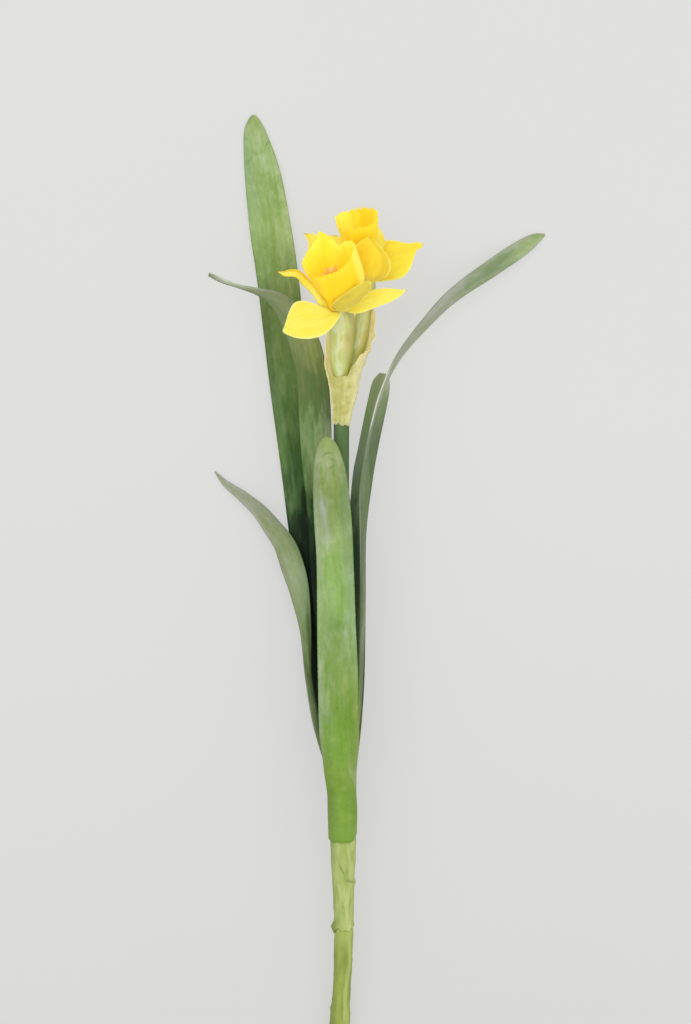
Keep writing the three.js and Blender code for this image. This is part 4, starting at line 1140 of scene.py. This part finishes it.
petal_face = petal_finish("petal_face", [(204, 196, 48), (253, 227, 102), (254, 240, 156), (249, 214, 66)],
                          (2, 2, 2), foot_end=0.28, rim_start=0.9)
# Painted shade: a darker gold rim, edges and side for the shaded upper edge of the left tepal.
petal_shaded_edge = petal_finish("petal_shaded_edge", [(204, 196, 48), (252, 227, 108), (206, 172, 30), (248, 214, 74)],
                          (7, 2, 2), foot_end=0.28, rim_start=0.97, edge_start=0.6, sheen=0.1,
                          tones=[(-3, -2, -0.75, 0.05, (226, 190, 34))])
petal_shaded = petal_finish("petal_shaded", [(184, 178, 60), (208, 194, 70), (234, 218, 106), (190, 174, 52)],
                            (6, 2, 2), rim_start=0.85, glow=0.03)
petal_olive = petal_finish("petal_olive", [(192, 184, 72), (228, 206, 74), (244, 228, 120), (216, 196, 66)],
                           (3, 2, 2), rim_start=0.9)
back_face = petal_finish("back_petal_face", [(196, 184, 54), (246, 220, 70), (252, 234, 130), (232, 198, 46)],
                         (4, 2, 2), foot_end=0.44, rim_start=0.9)
# The tone of this cloth is painted shade down one side.
back_out = petal_finish("back_petal_out", [(206, 190, 52), (248, 214, 54), (254, 234, 118), (236, 196, 40)],
                        (5, 2, 2), rim_start=0.9, edge_start=0.9, glow=0.05, sheen=0.2,
                        tones=[(0.3, 0.65, 0.86, 0.95, (222, 194, 44))])
FRONT_TEPALS = {
    "front_tepal_left_front": (246, -21, [petal_face, petal_olive], [
        (-7.2, 402.2, 52.4, -0.4, 399.6, 53.2, -0.3), (-9.6, 403.2, 53.6, -1.6, 396.8, 55, -0.9),
        (-12.2, 404.6, 55, -4.2, 393.2, 57.2, -1.4), (-15.7, 405.9, 57, -8, 389.8, 59, -1.8),
        (-20, 406.3, 59.4, -12, 388, 60.8, -2), (-23.6, 404.8, 61.8, -16.5, 387.3, 62.2, -1.6),
        (-26, 400.2, 63.6, -22, 387.7, 63.8, -1), (-27.6, 395.2, 65, -26.4, 389.2, 65.4, -0.4),
        (-29.1, 391.3, 66, -28.9, 390.6, 66, 0),
    ]),
    "front_tepal_right": (336, 18, [petal_face, petal_olive], [
        (4.4, 405.4, 49.2, 3, 400.9, 51.6, -0.5), (8, 407.4, 49.2, 6.4, 400, 53, -1),
        (11.6, 409.6, 49.6, 10.2, 400.2, 54, -1.3), (15.2, 411.3, 50.2, 14, 401.5, 54.8, -1.4),
        (18.6, 412.3, 50.8, 18, 403.1, 55.2, -1.4), (22.4, 412.6, 51.8, 21.6, 404.4, 55.6, -1.2),
        (27, 412.2, 53, 25.5, 406, 55.8, -0.8), (30.3, 412, 54, 29.6, 408.8, 55.8, -0.4),
        (32.7, 411.9, 55, 32.6, 411.4, 55, 0),
    ]),
    "front_tepal_left": (206, 14, [petal_shaded_edge, petal_olive], [
        (-7, 404.8, 55.2, -10.2, 403.4, 51.8, -0.3), (-8.8, 407.3, 56.8, -11.8, 405.4, 53, -0.4),
        (-10.7, 409.9, 57.8, -13.7, 408.3, 54.8, -0.6), (-12.8, 413.2, 58.9, -16.5, 411.5, 57.4, -0.8),
        (-15.7, 416.8, 59.8, -19.5, 414.5, 60.2, -0.8), (-18.6, 419.8, 60.4, -21.7, 417.5, 62.2, -0.6),
        (-21.5, 421.7, 61.6, -24.5, 418.3, 63.8, -0.4), (-25, 421.8, 63.2, -28.3, 418.5, 65, -0.2),
        (-28.2, 421, 64.6, -30, 419.6, 65.2, 0), (-31.3, 420.8, 65.6, -31.3, 420.3, 65.6, 0),
    ]),
    "front_tepal_right_front": (298, -17, [petal_shaded, petal_shaded], [
        (-4.9, 403.6, 56, 0.2, 400.6, 54.8, -0.2), (-3.6, 405.6, 58.4, 2.2, 401, 56.6, -0.7),
        (-0.8, 408, 61.4, 4.4, 402.2, 58.8, -1), (3, 410.7, 64.4, 6.8, 403.9, 60.8, -1.2),
        (6.5, 413, 66.4, 9.6, 406.1, 62.6, -1.2), (10, 414.7, 67.6, 12.4, 408.9, 64.2, -1),
        (13.2, 415.9, 68.4, 14.5, 411.8, 65.8, -0.6), (15.3, 415, 68.4, 15.5, 414.2, 68.2, 0),
    ]),
    "front_tepal_left_back": (128, 14, [petal_face, petal_olive], [
        (-12, 414.5, 40, -6.8, 415, 39.8, -0.4), (-16.2, 423, 39.2, -7.6, 424, 38.4, -0.8),
        (-16.6, 431, 39.6, -8.6, 432, 39.2, -0.8), (-16.4, 435.6, 40.8, -10.5, 437.6, 40.6, -0.6),
        (-17.2, 437.6, 41.6, -13.5, 439.9, 41.2, -0.4), (-18, 439, 42.2, -16.2, 440.1, 42, -0.1),
        (-18.6, 439.9, 42.4, -18.2, 440.1, 42.4, 0),
    ]),
    "front_tepal_right_back": (72, 14, [petal_face, petal_olive], [
        (-5.2, 417.4, 39.6, 2.4, 417, 40.4, -0.4), (-6, 426, 39.6, 2.6, 426, 42, -0.6),
        (-7, 433, 41.2, 2, 433, 44, -0.6), (-7.4, 437, 42.6, 1.4, 436.4, 44.6, -0.4),
        (-6.9, 438.8, 43.2, -0.6, 438.3, 44.4, -0.2), (-4.8, 439.2, 43.8, -4.2, 439.2, 43.8, 0),
    ]),
}
BACK_TEPALS = {
    "back_tepal_front": (272, -22, [back_face, back_out], [
        (7.4, 419.4, 42, 19.2, 417, 40.6, -1.2), (5.2, 424, 46.4, 23, 418.8, 43.6, -2.4),
        (5.2, 429.4, 50, 24.8, 422.6, 46.2, -2.6), (6.8, 433.2, 52.4, 23.9, 427.4, 48.6, -2),
        (9.2, 435.6, 53.6, 20.8, 431.8, 50.8, -1.2), (11.6, 437.2, 54.2, 17, 435.2, 52.8, -0.5),
        (13.5, 438.1, 54.4, 14, 437.9, 54.4, 0),
    ]),
    "back_tepal_right": (338, 22, [back_face, petal_olive], [
        (20, 423.4, 30.8, 19.2, 415.9, 33.4, -0.4), (20.6, 428, 31, 21.8, 416.4, 33.2, -0.8),
        (21.2, 432.8, 31.6, 26.2, 416.9, 34, -1.4), (22.6, 436.6, 32.2, 30.6, 418.2, 34.6, -1.6),
        (26.6, 436.7, 33, 33.6, 421, 34.8, -1.6), (31, 435.7, 33.8, 35.4, 424.8, 35, -1.2),
        (34.8, 435.3, 34.4, 36.6, 428.8, 35.2, -0.6), (38.2, 435.8, 35, 38, 432.1, 35.4, -0.3),
        (40, 435.5, 35.4, 40.1, 433, 35.5, 0), (40.9, 434.7, 35.5, 40.9, 434.2, 35.5, 0),
    ]),
    "back_tepal_right_back": (42, 18, [petal_face, petal_olive], [
        (14, 428, 20.6, 21.4, 427.5, 24, -0.8), (12.6, 435, 18.6, 22.4, 434, 21.6, -1),
        (12.4, 441, 18, 21.6, 438.6, 20.4, -0.8), (13.4, 444.6, 18, 19.4, 442.8, 19.2, -0.4),
        (16.6, 445.8, 18.6, 17.6, 445.4, 18.6, 0),
    ]),
    "back_tepal_below": (98, 16, [back_face, petal_olive], [
        (6.2, 424, 16.8, 16.2, 425, 16.8, -0.6), (3.4, 429.6, 9.8, 15.6, 430.6, 9.6, -0.8),
        (3.6, 435.2, 4.4, 11.6, 435.8, 4, -0.4), (6.2, 438.4, 0.9, 7, 438.6, 0.9, 0),
    ]),
    "back_tepal_left_back": (150, 16, [back_face, petal_olive], [
        (0.8, 416.8, 24, 3.2, 425.4, 22.4, -0.6), (-6.4, 419.8, 22.4, -3.4, 431.2, 20.6, -1),
        (-12.2, 425, 20, -9.4, 432.4, 18.8, -0.6), (-14.8, 430.6, 18, -14.6, 431.4, 18, 0),
    ]),
    "back_tepal_left_front": (194, 14, [back_face, petal_olive], [
        (1.2, 416.1, 33.4, 2.4, 421, 32, -0.4), (-7.2, 420, 31.2, -2.8, 426.6, 30.6, -0.8),
        (-11.4, 427.8, 28.4, -7.2, 431.2, 28.2, -0.4), (-12.9, 433.7, 27.8, -12.3, 434.3, 27.8, 0),
    ]),
}
seed = 20.0
for tepals, flower, ring, slot in ((FRONT_TEPALS, FRONT_FLOWER, 5.7, "front_petal"),
                                   (BACK_TEPALS, BACK_FLOWER, 5.75, "back_petal")):
    for node, (turn, spread, faces, rails) in tepals.items():
        fold_depth = 1.3 if node == "back_tepal_right" else 0.5
        mesh = cut_petal(flower, ring, turn, spread, rails, pressed(seed, fold_depth))
        finish_piece(node.replace("tepal", "petal"), node, slot, mesh, faces, PETAL_THICKNESS)
        seed += 1.0


# The hearts: six stamens with powdery orange anthers round one pistil with a three-lobed head, all of thin
# wire and paste, fixed to the floor of each trumpet.
pollen, tree, shader = new_material("pollen")
place = feed(tree, "ShaderNodeTexCoord").outputs["Object"]
dust = feed(tree, "ShaderNodeTexNoise", {"Vector": place, "Scale": 2500.0, "Detail": 2.0}).outputs["Fac"]
anther = mixed(tree, ramped(tree, dust, 0.4, 0.6), card_colour(253, 213, 110), card_colour(254, 223, 150))
wire(tree, shader, {
    "Base Color": mixed(tree, ramped(tree, trait(tree, "along"), 0.3, 0.5), card_colour(240, 216, 96), anther),
    "Roughness": 0.8,
    "Normal": bumped(tree, dust, 0.5, 0.0003),
})

PISTIL = [(0, 1.3, 0.6), (0, 13, 0.6), (0, 20.5, 0.8), (0, 22.2, 1.3), (0, 23.4, 0.9)]
STAMEN = [(0, 1.3, 0.4), (0.5, 11, 0.4), (1.2, 15, 0.9), (1.7, 20, 0.9), (1.8, 21.6, 0.4)]
STAMEN_RING = 2.4
HEART_LEAN = 0.055


def heart_rows(flower, stations, turn, ring):
    """A station is how far the stalk has spread from its ring, its height in the flower and its radius."""
    return [(*at_turn(flower, ring + spread, turn, height, HEART_LEAN * height), radius)
            for spread, height, radius in stations]


def three_lobes(angle, share, y):
    return 0.35 * math.cos(3 * angle) * max(0.0, share - 0.6)


def anther_groove(angle, share, y):
    return -0.12 * hump(angle, 0, 0.4) * clamped((share - 0.35) * 5)


for prefix, flower in (("front", FRONT_FLOWER), ("back", BACK_FLOWER)):
    mesh = grow_stalk(heart_rows(flower, PISTIL, 0, 0), 24, 60, three_lobes)
    finish_piece(prefix + "_stigma", prefix + "_pistil", "stamen", mesh, [pollen])
    for i in range(6):
        mesh = grow_stalk(heart_rows(flower, STAMEN, math.pi * i / 3, STAMEN_RING), 20, 48, anther_groove)
        finish_piece(f"{prefix}_anther_{i + 1}", f"{prefix}_stamen_{i + 1}", "stamen", mesh, [pollen])
